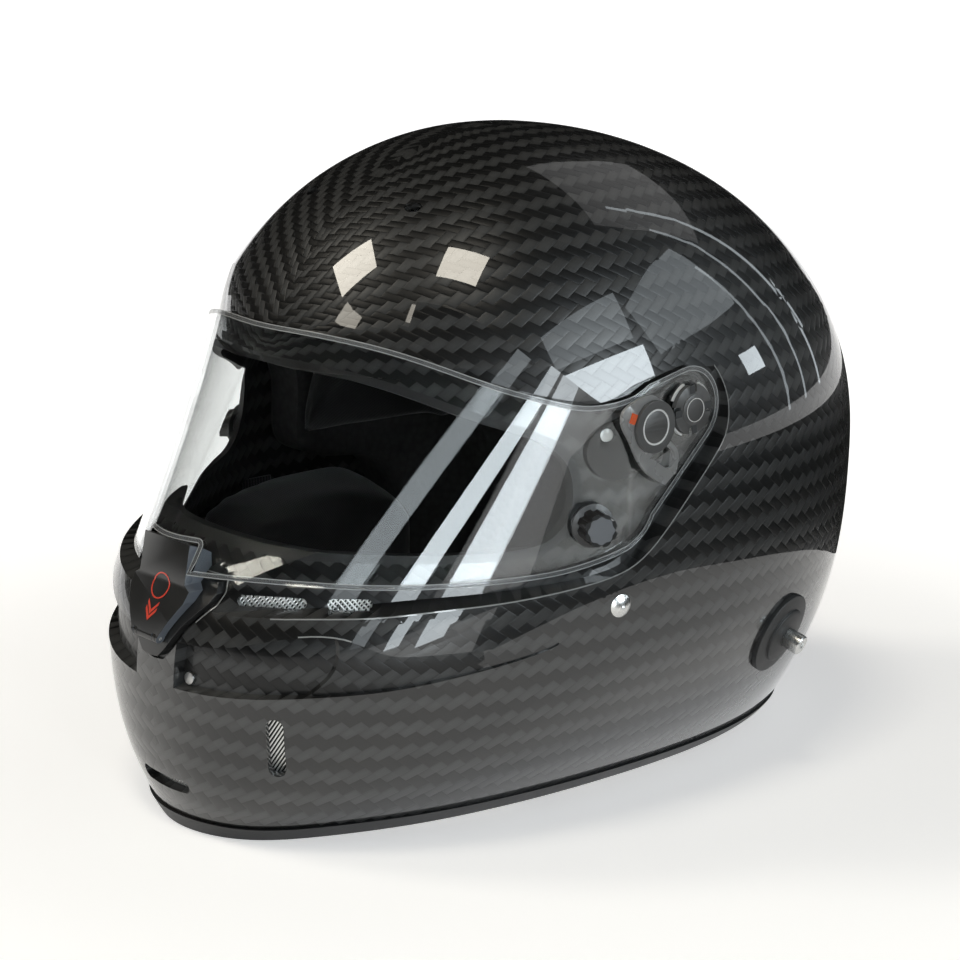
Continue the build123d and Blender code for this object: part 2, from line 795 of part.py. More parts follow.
# Release cap pressed into the visor, and the lever that turns under its flange.
lever_start = visor_side + lever_gap
cap_start = lever_start + lever_thickness + lever_gap
release_cap = side_pin(cap_boss_radius, cap_y, cap_z, visor_side - visor_thickness, visor_thickness)
neck_radius = cap_boss_radius - 2 * running_gap
release_cap += side_pin(neck_radius, cap_y, cap_z, visor_side, cap_start - visor_side)
release_cap += side_pin(cap_radius, cap_y, cap_z, cap_start, cap_thickness)
cap_face = Plane.YZ.offset(cap_start + cap_thickness - cap_ring_depth) * Pos(cap_y, cap_z)
cap_ring = Circle(cap_ring_radius) - Circle(cap_ring_radius - cap_ring_width)
release_cap -= extrude(cap_face * cap_ring, amount=cap_ring_depth)


def lever_points(shares):
    return [(cap_y + y * lever_span, cap_z + z * lever_span) for y, z in shares]


lever_run, strand_run = lever_points(lever_outer_shares), lever_points(lever_strand_shares)
lever_face = make_face([
    Spline(*lever_run), Line(lever_run[-1], strand_run[0]), Spline(*strand_run),
    Line(strand_run[-1], lever_run[0]),
])
window = lever_points(lever_window_shares)
lever_face -= make_face([Spline(*window[:4]), Spline(*window[3:]), Line(window[-1], window[0])])
lever_face += Pos(cap_y, cap_z) * Circle(lever_eye_radius)
lever_face -= Pos(cap_y, cap_z) * Circle(cap_boss_radius)
release_lever = extrude(Plane.YZ.offset(lever_start) * lever_face, amount=lever_thickness)
mark_turn = Pos(cap_y, cap_z) * Rot(0, 0, indicator_angle)
mark_out = Pos(cap_radius + clearance + indicator_width / 2, 0)
mark_face = mark_turn * mark_out * Rectangle(indicator_width, indicator_length)
lever_mark = extrude(Plane.YZ.offset(lever_start + lever_thickness) * mark_face, amount=indicator_height)

# Tear-off studs through the visor, each with a lobed knob that turns on it.
stud_seat = 2 * running_gap
stud_top = washer_thickness + knob_height - knob_face - stud_seat
stud = post(stud_plane, washer_radius, stud_seat, washer_thickness - stud_seat)
stud_back = stud_depth_share * visor_thickness
stud += post(stud_plane, stud_radius, -stud_back, stud_back + stud_top)
stud += post(stud_plane, stud_head_radius, -stud_back - stud_head_height, stud_head_height)
knob_start = washer_thickness + stud_seat
knob = post(stud_plane, knob_radius, knob_start, knob_height)
for lobe in range(knob_lobes):
    scallop = Rot(0, 0, 360 * lobe / knob_lobes) * Pos(knob_lobe_place, 0) * Circle(knob_lobe_radius)
    knob -= extrude(stud_plane.offset(knob_start) * scallop, amount=knob_height)
knob -= post(stud_plane, stud_radius + running_gap, knob_start, knob_height - knob_face)

# Latch: a base let into the chin and a lever hinged on its foot.
base_points = [
    (x * latch_base_half, latch_base_foot + z * latch_base_height) for x, z in latch_base_shares
]


def mirrored_outline(points):
    return points + [(-x, z) for x, z in reversed(points) if x > 0]


latch_outline = filled(mirrored_outline(base_points + [(0, base_points[-1][1])]))
base_block = front_prism(latch_outline, chin_reach + overrun)
bed_outline = offset(latch_outline, amount=latch_bed_depth, kind=Kind.ARC)
bed_prism = front_prism(bed_outline, chin_reach + overrun)
bed_cut = bed_prism - helmet_form(latch_bed_depth)
latch_base = (helmet_form(-latch_base_proud) & base_block) - helmet_form(latch_bed_depth)
pin_place = (latch_pin_y, latch_pin_z)


def across(face, start, width):
    """Prism along X of a side view face, from a start over a width."""
    return extrude(Plane.YZ.offset(start) * face, amount=width)


ear_reach = latch_pin_radius + latch_barrel_radius
ear_tail = Pos(ear_reach, 0) * Rectangle(2 * ear_reach, 2 * latch_barrel_radius)
ear_face = Pos(*pin_place) * (Circle(latch_barrel_radius) + ear_tail)
for x in (latch_ear_at, -latch_ear_at):
    ear = across(ear_face, x - latch_ear_width / 2, latch_ear_width)
    latch_base += ear - helmet_form(0)
latch_pin = across(Pos(*pin_place) * Circle(latch_pin_radius), -latch_pin_length / 2, latch_pin_length)
latch_base -= latch_pin
lever_outline = filled(mirrored_outline([
    (x * latch_half_width, latch_base_foot + z * latch_base_height) for x, z in latch_lever_shares
]))


def from_pin(y, z):
    """Side view point at shares of the latch's swing radius from its pin."""
    return (latch_pin_y + y * latch_swing_radius, latch_pin_z + z * latch_swing_radius)


front_run = [from_pin(y, z) for y, z in latch_front_shares]
head_run = [from_pin(y, z) for y, z in latch_head_shares]
arc_y = (latch_head_shares[0][0] + latch_front_shares[0][0]) / 2
lever_profile = make_face([
    Polyline(*front_run, pin_place, *reversed(head_run)),
    ThreePointArc(head_run[0], from_pin(arc_y, latch_arc_share), front_run[0]),
])
lever_profile += Pos(*pin_place) * Circle(latch_barrel_radius)
latch_lever = across(lever_profile, -2 * latch_half_width, 4 * latch_half_width)
latch_lever &= front_prism(lever_outline, chin_reach + overrun)
latch_lever -= helmet_form(-latch_base_proud - clearance)
slot_radius = latch_barrel_radius + clearance
slot_tail = Pos(slot_radius, 0) * Rectangle(2 * slot_radius, 2 * slot_radius)
slot_face = Pos(*pin_place) * (Circle(slot_radius) + slot_tail)
for x in (latch_ear_at, -latch_ear_at):
    slot_width = latch_ear_width + 2 * clearance
    latch_lever -= across(slot_face, x - slot_width / 2, slot_width)
pin_bore = Pos(*pin_place) * Circle(latch_pin_radius + running_gap)
latch_lever -= across(pin_bore, -latch_half_width, 2 * latch_half_width)

# Screws in the chin channels.
channel_screw_list, channel_screw_holes = [], []
for x in (channel_screw_x, -channel_screw_x):
    plane = at_face(x, channel_screw_z)
    plane = Plane(origin=plane.origin + Vector(0, channel_depth, 0), x_dir=plane.x_dir, z_dir=plane.z_dir)
    shank = post(plane, screw_shank_radius, -wall, wall)
    head = post(plane, channel_screw_radius, 0, screw_head_height)
    channel_screw_list.append(head + shank)
    channel_screw_holes.append(head + shank)
channel_screws = Compound(channel_screw_list)

# Head-restraint anchors: a stepped ring let into the laminate, a post through it and a nut.
anchor_plane = skin_plane(anchor_y, anchor_z)
ring_profile = [
    (post_shank_radius, -anchor_bed_depth), (anchor_radius, -anchor_bed_depth),
    (anchor_radius, anchor_edge),
    (anchor_step_radius + anchor_edge, anchor_rise), (anchor_step_radius, anchor_rise),
    (anchor_step_radius, anchor_step), (anchor_collar_radius, anchor_step + anchor_edge),
    (post_shank_radius, anchor_step + anchor_edge),
]
ring_turned = revolve(Plane.XZ * filled(ring_profile), axis=Axis.Z)
anchor_ring = anchor_plane * ring_turned
anchor_bed = post(anchor_plane, anchor_radius, -anchor_bed_depth, anchor_radius)
post_start = anchor_step + anchor_edge
nut_start = -wall - 2 * clearance - nut_height
anchor_post = post(anchor_plane, post_radius, post_start, post_height - post_start)
post_rim = anchor_post.edges().sort_by(lambda edge: (edge.center() - anchor_plane.origin).length)[-1]
anchor_post = chamfer(post_rim, length=post_chamfer)
anchor_post += post(anchor_plane, post_shank_radius, nut_start, post_start - nut_start)
anchor_post -= post(anchor_plane, post_bore_radius, post_height - post_radius, post_radius)
nut_blank = extrude(anchor_plane.offset(nut_start) * RegularPolygon(nut_radius, 6), amount=nut_height)
anchor_nut = nut_blank - post(anchor_plane, post_shank_radius, nut_start, nut_height)
anchor_nuts = Compound(both_sides(anchor_nut))

# Strap rivets with domed heads, their washers behind the webbing.
rivet_plane = skin_plane(rivet_y, rivet_z)
dome_radius = (rivet_radius**2 + rivet_height**2) / (2 * rivet_height)
dome = rivet_plane * Pos(0, 0, rivet_height - dome_radius) * Sphere(dome_radius)
rivet_seat = 2 * running_gap
rivet = dome & post(rivet_plane, rivet_radius, rivet_seat, rivet_height)
rivet_length = strap_inset + strap_thickness
rivet_hole = post(rivet_plane, rivet_shank_radius, -rivet_length, rivet_length + rivet_height)
rivet += post(rivet_plane, rivet_shank_radius, -rivet_length, rivet_length + rivet_height / 2)
strap_rivets = Compound(both_sides(rivet))

# Chin strap webbing, from each rivet down inside the laminate and in under the chin.
strap_heights = [rivet_z + 1.25 * rivet_radius, rivet_z - 2 * rivet_radius]
strap_heights += [strap_low + (strap_heights[1] - strap_low) * share for share in strap_height_shares]
strap_run = [(skin_point(rivet_y, z, strap_inset).X, z) for z in strap_heights]
strap_run += [(strap_run[-1][0] * share, strap_low) for share in strap_flat_shares]


def ribbon(points, thickness):
    """Face of a band of even thickness along a run of points."""
    over, under = [], []
    for index, (x, z) in enumerate(points):
        before, after = points[max(index - 1, 0)], points[min(index + 1, len(points) - 1)]
        run, rise = after[0] - before[0], after[1] - before[1]
        span = hypot(run, rise)
        dx, dz = -rise / span * thickness / 2, run / span * thickness / 2
        over.append((x + dx, z + dz))
        under.append((x - dx, z - dz))
    return make_face([
        Spline(*over), Line(over[-1], under[-1]), Spline(*reversed(under)), Line(under[0], over[0]),
    ])


strap_place = Plane.XZ.offset(-(rivet_y - strap_width / 2))
left_strap = extrude(strap_place * ribbon(strap_run, strap_thickness), amount=-strap_width)
ring_bar_x = strap_run[-1][0] - ring_loop_radius - strap_thickness / 2
loop_place = strap_place * Pos(ring_bar_x, strap_low)
loop_face = loop_place * (Circle(ring_loop_radius + strap_thickness) - Circle(ring_loop_radius))
strap_loop = extrude(loop_face, amount=-strap_width)
loop_bore = extrude(loop_place * Circle(ring_loop_radius), amount=-strap_width)
right_strap = mirrored(left_strap)
loop_at_right = mirrored(strap_loop)
chin_strap_left = left_strap - rivet
chin_strap_right = (right_strap - mirrored(loop_bore) + loop_at_right) - mirrored(rivet)
ring_long = strap_width + ring_inner
ring_face = RectangleRounded(ring_inner + 2 * ring_wire, ring_long + 2 * ring_wire, ring_inner / 2)
ring_face -= RectangleRounded(ring_inner - 2 * ring_wire, ring_long - 2 * ring_wire, ring_inner / 4)
rings = []
for lift in (ring_spacing / 2, -ring_spacing / 2):
    place = Pos(-ring_bar_x + ring_inner / 2, rivet_y, strap_low + lift - ring_wire)
    rings.append(extrude(place * ring_face, amount=2 * ring_wire))
strap_rings = Compound(rings)

# Keep-out behind the recess and the brow, for the linings.
keep_out = side_prism(recess_outline(wall + foam_gap)) - recess_form(wall + foam_gap)
brow_keep_out = brow - swing_form(brow_swing_gap + wall + brow_foam_gap)

# Impact liner of foam, its edge clear of the eye port and the cheek pads.
edge_run = side_points(liner_edge_shares)
behind = back_reach + overrun
over = crown_height + overrun
liner_face = make_face([
    Spline(*edge_run),
    Polyline(edge_run[-1], (behind, edge_run[-1][1]), (behind, over), (edge_run[0][0] - overrun, over),
             (edge_run[0][0] - overrun, edge_run[0][1]), edge_run[0]),
])
liner_inside = helmet_form(liner_inner)
impact_liner = (helmet_form(wall + clearance) - liner_inside) & side_prism(liner_face)
impact_liner = impact_liner - keep_out - brow_keep_out
pocket_radius = nut_radius + nut_pocket_gap
nut_pocket = post(anchor_plane, pocket_radius, nut_start - nut_pocket_gap, wall + nut_height)
for cut in both_sides(nut_pocket):
    impact_liner -= cut
for x in (brow_hole_x, -brow_hole_x):
    plane = at_face(x, brow_hole_z)
    duct = SlotOverall(brow_hole_long + 2 * duct_lap, brow_hole_short + 2 * duct_lap)
    impact_liner -= extrude(plane.offset(-wall - brow_foam_gap - mesh_thickness) * duct, amount=wall)
    impact_liner -= extrude(plane * brow_hole_face, amount=-2 * liner_inner)

# Comfort lining on the inside of the liner, with air channels along it.
across_all = 4 * half_width
comfort_outer = liner_inner + clearance
comfort_face = helmet_form(comfort_outer) - helmet_form(comfort_outer + comfort_thickness)
comfort_low = Pos(0, 0, comfort_foot + crown_height / 2) * Box(across_all, across_all, crown_height)
comfort_liner = comfort_face & comfort_low & side_prism(liner_face)
channel_core = helmet_form(comfort_outer + comfort_thickness - comfort_channel_depth)
for share in comfort_channel_shares:
    middle = Pos(share * half_width, 0, (crown_height + comfort_foot) / 2)
    groove = middle * Box(comfort_channel, across_all, crown_height)
    comfort_liner -= (groove & channel_core)

# Foam liner of the chin bar.
behind_channels = Pos(0, channel_depth, 0) * helmet_form(wall + 2 * clearance)
chin_outside = helmet_form(chin_liner_outer) & behind_channels
chin_span = chin_liner_top - chin_liner_foot
chin_middle = Pos(0, chin_liner_back - half_width, chin_liner_foot + chin_span / 2)
chin_box = chin_middle * Box(across_all, 2 * half_width, chin_span)
chin_liner = (chin_outside - helmet_form(chin_liner_inner)) & chin_box

# Cheek pads, crowned towards the wearer.
pad_length, pad_height = pad_back - pad_front, pad_top - pad_foot
pad_depth = half_width - pad_inner
pad_middle = Pos((pad_front + pad_back) / 2, (pad_foot + pad_top) / 2)
pad_wires = []
for depth_share, crown_share in pad_crown_shares:
    draw = pad_crown * crown_share
    outline = RectangleRounded(pad_length - 2 * draw, pad_height - 2 * draw, pad_round - draw)
    place = Plane.YZ.offset(pad_inner + pad_depth * depth_share) * pad_middle
    pad_wires.append((place * outline).face().outer_wire())
cheek_pad = Solid.make_loft(pad_wires) & helmet_form(pad_inset)
cheek_pad = cheek_pad - keep_out

# Neck roll round the back of the opening.
roll_height = roll_top - roll_foot
roll_wires = []
for height_share, bulge_share in roll_bulge_shares:
    z = roll_foot + roll_height * height_share
    roll_wires.append(level_wire(z, roll_inset + roll_depth * bulge_share))
roll_inside = Solid.make_loft(roll_wires)
roll_middle = Pos(0, roll_front + across_all / 2, roll_foot + roll_height / 2)
roll_box = roll_middle * Box(across_all, across_all, roll_height)
neck_roll = (helmet_form(roll_inset) & roll_box) - roll_inside

# Holes in the laminate for what passes through it.
through = [rivet_hole, anchor_bed, anchor_post, hinge_shank]
shell = laminate - port - bed_cut
for cut in cuts.values():
    shell -= cut
for tool in through:
    for cut in both_sides(tool):
        shell -= cut
for tool in channel_screw_holes:
    shell -= tool

# Bead of rubber trim round the rim, holding the edge of the laminate.
trim_band = helmet_form(-trim_lap) - helmet_form(wall + trim_lap)
trim_band -= side_prism(rim_face(0))
bottom_trim = (trim_band & side_prism(rim_face(trim_height))) - (skin - lining_face - below_lip)

nodes = {
    "shell": shell,
    "eyeport_gasket": eyeport_gasket,
    "bottom_trim": bottom_trim,
    "impact_liner": impact_liner,
    "comfort_liner": comfort_liner,
    "chin_liner": chin_liner,
    "neck_roll": neck_roll,
    "brow_meshes": meshes["brow"],
    "ledge_meshes": meshes["ledge"],
    "chin_side_meshes": meshes["cheek"],
    "chin_foot_mesh": meshes["foot"],
    "visor": visor,
    "hinge_screws": hinge_screws,
    "latch_base": latch_base,
    "latch_lever": latch_lever,
    "latch_pin": latch_pin,
    "channel_screws": channel_screws,
    "anchor_nuts": anchor_nuts,
    "strap_rivets": strap_rivets,
    "chin_strap_left": chin_strap_left,
    "chin_strap_right": chin_strap_right,
    "strap_rings": strap_rings,
    "hinge_bases": Compound(both_sides(hinge_base)),
    "hinge_discs": Compound(both_sides(hinge_disc)),
    "release_caps": Compound(both_sides(release_cap)),
    "tear_off_studs": Compound(both_sides(stud)),
    "anchor_rings": Compound(both_sides(anchor_ring)),
    "anchor_posts": Compound(both_sides(anchor_post)),
}
paired = {
    "cheek_pad": cheek_pad,
    "release_lever": release_lever,
    "lever_mark": lever_mark,
    "tear_off_knob": knob,
}
for name, solid in paired.items():
    nodes[name + "_left"] = solid
    nodes[name + "_right"] = mirrored(solid)

os.makedirs("parts", exist_ok=True)
for name, solid in nodes.items():
    export_step(solid, "parts/" + name + ".step")
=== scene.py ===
import bmesh
import bpy
import numpy as np
from mathutils import Matrix, Vector


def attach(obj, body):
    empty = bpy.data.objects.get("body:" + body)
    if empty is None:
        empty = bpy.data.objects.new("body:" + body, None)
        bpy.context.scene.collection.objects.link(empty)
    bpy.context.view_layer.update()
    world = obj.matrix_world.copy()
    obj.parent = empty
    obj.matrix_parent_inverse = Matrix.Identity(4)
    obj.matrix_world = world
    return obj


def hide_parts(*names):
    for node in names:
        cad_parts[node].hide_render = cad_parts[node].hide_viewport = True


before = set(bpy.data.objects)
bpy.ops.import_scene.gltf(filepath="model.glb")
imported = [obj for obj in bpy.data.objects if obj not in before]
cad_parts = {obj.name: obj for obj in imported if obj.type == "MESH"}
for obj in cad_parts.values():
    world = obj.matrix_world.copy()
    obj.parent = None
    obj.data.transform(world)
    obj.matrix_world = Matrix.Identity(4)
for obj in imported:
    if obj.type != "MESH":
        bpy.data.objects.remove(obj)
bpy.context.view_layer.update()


# The laminate: twill carbon cloth, laid up wet in a mould and cured, then sanded and
# covered with a thick, polished clear coat. Its rows of cloth run from front to back.
crown, beam, rim_arch = 0.2679, 0.131, 0.0058
half_width, back_reach, brow_reach, chin_reach = 0.1252, 0.1729, 0.1298, 0.1733
section_power = 2.21
face_heights = np.array([-0.12, 0.0, 0.22, 0.5, 0.65, 0.8, 0.92, 1.0])
face_reaches = np.array([0.880, 0.928, 0.990, 1.0, 0.981, 0.908, 0.800, 0.749])
dome_angles = np.radians([15, 30, 45, 60, 74, 83, 88])


def smooth_through(values, count):
    """Natural cubic spline through evenly spaced values, read at count even places."""
    values = np.asarray(values, float)
    size = len(values)
    system = np.diag(np.full(size, 4.0)) + np.diag(np.ones(size - 1), 1) + np.diag(np.ones(size - 1), -1)
    system[0, :2], system[-1, -2:] = (1, 0), (0, 1)
    bend = np.zeros(size)
    bend[1:-1] = 6 * (values[2:] - 2 * values[1:-1] + values[:-2])
    bend = np.linalg.solve(system, bend)
    at = np.linspace(0, size - 1, count)
    low = np.minimum(at.astype(int), size - 2)
    f = at - low
    g = 1 - f
    return (
        g * values[low] + f * values[low + 1]
        + ((g**3 - g) * bend[low] + (f**3 - f) * bend[low + 1]) / 6
    )


def level_table():
    """Half width, front reach, back reach and centre of the form against height.

    Above the beam they are powers of sqrt(1 - rise squared). Below it the side and the back
    draw in by powers of the drop, and the front follows the chin's line.
    """
    low = face_heights * beam
    high = beam + (crown - beam) * np.sin(dome_angles)
    rise = np.sin(dome_angles)
    level = np.cos(dome_angles)
    drop = np.clip((beam - low) / (beam - rim_arch), 0, None)
    side = half_width * np.concatenate([1 - 0.377 * drop**2.82, level**0.967])
    front = np.concatenate([chin_reach * face_reaches, brow_reach * level**0.964])
    fall = np.clip((beam - low) / beam, 0, None)
    back = back_reach * np.concatenate([1 - 0.108 * fall**1.95, level**1.053])
    centre = np.concatenate([0 * low, 0.0033 * rise])
    height = np.concatenate([low, high])
    return [smooth_through(row, 3000) for row in (height, side, front, back, centre)]


form_table = level_table()


def form_at(z):
    """The form's half width, front reach, back reach and centre at heights z."""
    return [np.interp(z, form_table[0], row) for row in form_table[1:]]


def skin_field(points, inset=0.0, back=0.0):
    """Below 0 inside the form and above 0 outside: the level section's ratio less 1.

    Near the crown it turns to the root of level squared plus rise squared, less 1, where
    level is the one whose own section passes through the point.
    """
    x, y, z = points.T
    side, front, rear, centre = form_at(z)
    y = y - back - centre
    reach = np.where(y < 0, front, rear) - inset
    ratio = (np.abs(x) / (side - inset)) ** section_power + (np.abs(y) / reach) ** section_power
    ratio = ratio ** (1 / section_power) - 1
    if inset:
        return ratio
    p, fore = section_power, y < 0
    across = (np.abs(x) / half_width) ** p
    along = (np.abs(y) / np.where(fore, brow_reach, back_reach)) ** p
    level = (across + along) ** (1 / p)
    power_x, power_y = 0.033 * p, np.where(fore, 0.036, -0.053) * p
    for _ in range(6):
        level = np.maximum(level, 1e-6)
        level = (across * level**power_x + along * level**power_y) ** (1 / p)
    dome = np.hypot(level, (z - beam) / (crown - beam)) - 1
    share = np.clip((z - 0.240) / 0.018, 0, 1)
    share = share * share * (3 - 2 * share)
    return ratio * (1 - share) + dome * share


visor_side, visor_bend, visor_reach, visor_rake = 0.122, -0.036, 0.1404, 0.586
sheet = 0.003


def visor_field(points, depth=0.0, extra=0.0):
    """The visor's form: |x| over its side, to 1.6, plus the way forward over its reach, to 1.31."""
    x, y, z = points.T
    lean = np.cos(np.arctan(visor_rake))
    reach = visor_reach - visor_rake * (z - 0.100) - depth / lean - extra
    ahead = np.clip((visor_bend - y) / reach, 0, None)
    return ((np.abs(x) / (visor_side - depth)) ** 1.6 + ahead**1.31) ** (1 / 1.6) - 1


def normals_of(field, points):
    """Unit gradient of a field at points, and how far each point lies from its surface."""
    step = 0.0008
    ways = np.eye(3) * step
    grad = np.stack([field(points + way) - field(points - way) for way in ways], axis=1) / (2 * step)
    size = np.linalg.norm(grad, axis=1)[:, None] + 1e-9
    return grad / size, field(points) / size[:, 0]


def in_scene(name, data):
    """A new object on its data, linked to the scene."""
    item = bpy.data.objects.new(name, data)
    bpy.context.scene.collection.objects.link(item)
    return item


def evaluated_mesh(piece):
    """A new mesh of a piece with its modifiers' work in it."""
    graph = bpy.context.evaluated_depsgraph_get()
    return bpy.data.meshes.new_from_object(piece.evaluated_get(graph))


def shade_smooth(mesh, crease=None):
    """Shades a mesh smooth, but for the edges sharper than a crease angle in degrees."""
    mesh.polygons.foreach_set("use_smooth", np.ones(len(mesh.polygons), bool))
    if crease:
        mesh.set_sharp_from_angle(angle=np.radians(crease))


crease_angle = 32.0


def merged_copy(node, name):
    """A CAD node's mesh with its doubles merged and its creases kept sharp."""
    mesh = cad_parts[node].data.copy()
    mesh.name = name
    piece = in_scene(name, mesh)
    weld = piece.modifiers.new("weld", "WELD")
    weld.merge_threshold = 0.00001
    bpy.context.view_layer.update()
    solid = evaluated_mesh(piece)
    piece.modifiers.clear()
    piece.data = solid
    solid.name = name
    solid.materials.clear()
    if "sharp_edge" in solid.attributes:
        solid.attributes.remove(solid.attributes["sharp_edge"])
    shade_smooth(solid, crease_angle)
    return piece


def rows_of(items, name, width=3, kind=float):
    """One attribute of a mesh's points, corners or faces, a row each."""
    values = np.empty(len(items) * width, kind)
    items.foreach_get(name, values)
    return values.reshape(-1, width)


def corner_arrays(mesh):
    """Points, the corners' point numbers and the corners' normals of a triangle mesh."""
    corners = rows_of(mesh.loops, "vertex_index", 1, int)[:, 0]
    return rows_of(mesh.vertices, "co"), corners, rows_of(mesh.corner_normals, "vector")


touching = 0.0009


def lay_true_normals(piece, fields, near=touching):
    """Corners of faces that lie on one of the fields' surfaces take that surface's normal."""
    points, corners, normals = corner_arrays(piece.data)
    places = points[corners]
    faces = places.reshape(-1, 3, 3)
    flat = np.cross(faces[:, 1] - faces[:, 0], faces[:, 2] - faces[:, 0])
    flat /= np.linalg.norm(flat, axis=1)[:, None] + 1e-12
    best = np.full(len(faces), 0.93)
    for field in fields:
        true, gap = normals_of(field, places)
        true = true.reshape(-1, 3, 3)
        cosine = (true * flat[:, None]).sum(2)
        agree = np.abs(cosine).min(1)
        taken = (np.abs(gap).reshape(-1, 3).max(1) < near) & (agree > best)
        best[taken] = agree[taken]
        normals.reshape(-1, 3, 3)[taken] = (true * np.sign(cosine)[..., None])[taken]
    piece.data.normals_split_custom_set(normals.tolist())


def finer(points, faces, fields, longest, near):
    """Splits the long edges that lie on a form, and lays each new point on that form.

    An edge counts where both its ends are near one field's surface. Its middle takes the
    mean of its ends' gaps to that surface, so the faces follow the form between them.
    """
    low, high = points.min(0), points.max(0)
    for _ in range(9):
        gaps = np.stack([normals_of(field, points)[1] for field in fields])
        pairs = np.sort(faces[:, [0, 1, 1, 2, 2, 0]].reshape(-1, 2), axis=1)
        edges, used = np.unique(pairs, axis=0, return_inverse=True)
        used = used.reshape(-1, 3)
        span = np.linalg.norm(points[edges[:, 0]] - points[edges[:, 1]], axis=1)
        worst = np.abs(gaps[:, edges]).max(2)
        best = worst.argmin(0)
        split = (worst.min(0) < near) & (span > longest)
        if not split.any():
            break
        number = np.full(len(edges), -1)
        number[split] = len(points) + np.arange(split.sum())
        ends, own = edges[split], best[split]
        middle = points[ends].mean(1)
        target = (gaps[own, ends[:, 0]] + gaps[own, ends[:, 1]]) / 2
        for index, field in enumerate(fields):
            mine = own == index
            for _ in range(3):
                if mine.any():
                    way, gap = normals_of(field, middle[mine])
                    middle[mine] += way * (target[mine] - gap)[:, None]
        points = np.concatenate([points, np.clip(middle, low, high)])
        mid = number[used]
        cut = mid >= 0
        count = cut.sum(1)
        parts = [faces[count == 0]]
        for turn in range(3):
            a, b, c = (faces[:, (turn + k) % 3] for k in range(3))
            ab, bc = mid[:, turn], mid[:, (turn + 1) % 3]
            one = (count == 1) & cut[:, turn]
            two = (count == 2) & cut[:, turn] & cut[:, (turn + 1) % 3]
            parts += [np.stack(part, 1)[one] for part in ((a, ab, c), (ab, b, c))]
            parts += [np.stack(part, 1)[two] for part in ((ab, b, bc), (a, ab, bc), (a, bc, c))]
        a, b, c = faces[count == 3].T
        ab, bc, ca = mid[count == 3].T
        parts += [np.stack(part, 1) for part in ((a, ab, ca), (ab, b, bc), (ca, bc, c), (ab, bc, ca))]
        faces = np.concatenate(parts)
    return points, faces


def follow_form(piece, fields, longest=0.006, near=touching):
    """Makes a piece's faces short enough to follow its forms, and lays the true normals."""
    mesh = piece.data
    points, corners, _ = corner_arrays(mesh)
    points, faces = finer(points, corners.reshape(-1, 3), fields, longest, near)
    fine = bpy.data.meshes.new(mesh.name + "_fine")
    fine.from_pydata(points.tolist(), [], faces.tolist())
    shade_smooth(fine, crease_angle)
    for material in mesh.materials:
        fine.materials.append(material)
    piece.data = fine
    lay_true_normals(piece, fields, near * 1.3)


def table_read(table, rows, columns):
    """Values between the entries of a table at fractional rows and columns."""
    r = np.clip(rows, 0, table.shape[0] - 1.001)
    c = np.clip(columns, 0, table.shape[1] - 1.001)
    i, j = r.astype(int), c.astype(int)
    f, g = r - i, c - j
    low = table[i, j] * (1 - g) + table[i, j + 1] * g
    return low * (1 - f) + (table[i + 1, j] * (1 - g) + table[i + 1, j + 1] * g) * f


def run_lengths(across, up):
    """Length along each row of points from the row's first."""
    steps = np.hypot(np.diff(across, axis=1), np.diff(up, axis=1))
    return np.concatenate([np.zeros((len(steps), 1)), np.cumsum(steps, axis=1)], axis=1)


def cloth_places(points):
    """Where points lie on the cloth: along its rows, and across them.

    Along is the arc length round the level section, from the side towards the front. Across
    is the height below the beam, and above it the arc length over the dome at that y.
    """
    x, y, z = points.T
    heights = np.linspace(-0.01, crown - 0.0004, 90)
    turns = np.linspace(0, np.pi, 121)
    side, front, rear, centre = [row[:, None] for row in form_at(heights)]
    reach = np.where(turns < np.pi / 2, -front, rear)
    level_x = side * np.sin(turns) ** (2 / section_power)
    level_y = centre + reach * np.abs(np.cos(turns)) ** (2 / section_power)
    along = run_lengths(level_x, level_y)
    along = along - along[:, 60:61]
    side, front, rear, centre = form_at(z)
    ahead = y - centre
    ratio = np.abs(ahead) / np.where(ahead < 0, front, rear)
    power = section_power / 2
    turn = np.arctan2((np.abs(x) / side) ** power, -np.sign(ahead) * ratio**power)
    row = (z - heights[0]) / (heights[1] - heights[0])
    s = table_read(along, row, turn / np.pi * 120)
    ys = np.linspace(-0.1285, 0.1715, 100)[:, None]
    tops = np.linspace(beam, crown - 0.0004, 400)
    _, front, rear, centre = form_at(tops)
    top = np.where(
        ys[:, 0] < 0.0033,
        np.interp(ys[:, 0], centre - front, tops),
        np.interp(-ys[:, 0], -centre - rear, tops),
    )[:, None]
    quarter = np.linspace(0, np.pi / 2, 61)
    zs = beam + (top - beam) * np.sin(quarter)
    side, front, rear, centre = form_at(zs)
    ratio = np.clip(np.abs(ys - centre) / np.where(ys < centre, front, rear), 0, 1)
    xs = side * (1 - ratio**section_power) ** (1 / section_power)
    over = run_lengths(xs, zs)
    row = (y - ys[0, 0]) / (ys[1, 0] - ys[0, 0])
    ceiling = np.interp(y, ys[:, 0], top[:, 0])
    rise = np.clip((z - beam) / np.maximum(ceiling - beam, 0.002), 0, 1)
    t = table_read(over, row, np.arcsin(rise) / (np.pi / 2) * 60)
    t = np.where(z < beam, z - beam, t)
    return s, t


def lay_cloth(piece):
    """Writes where each corner lies on the cloth to the piece's UV map, in centimetres."""
    points, corners, _ = corner_arrays(piece.data)
    places = np.stack(cloth_places(points), axis=1) * 100
    piece.data.uv_layers.new(name="cloth").data.foreach_set("uv", places[corners].ravel())


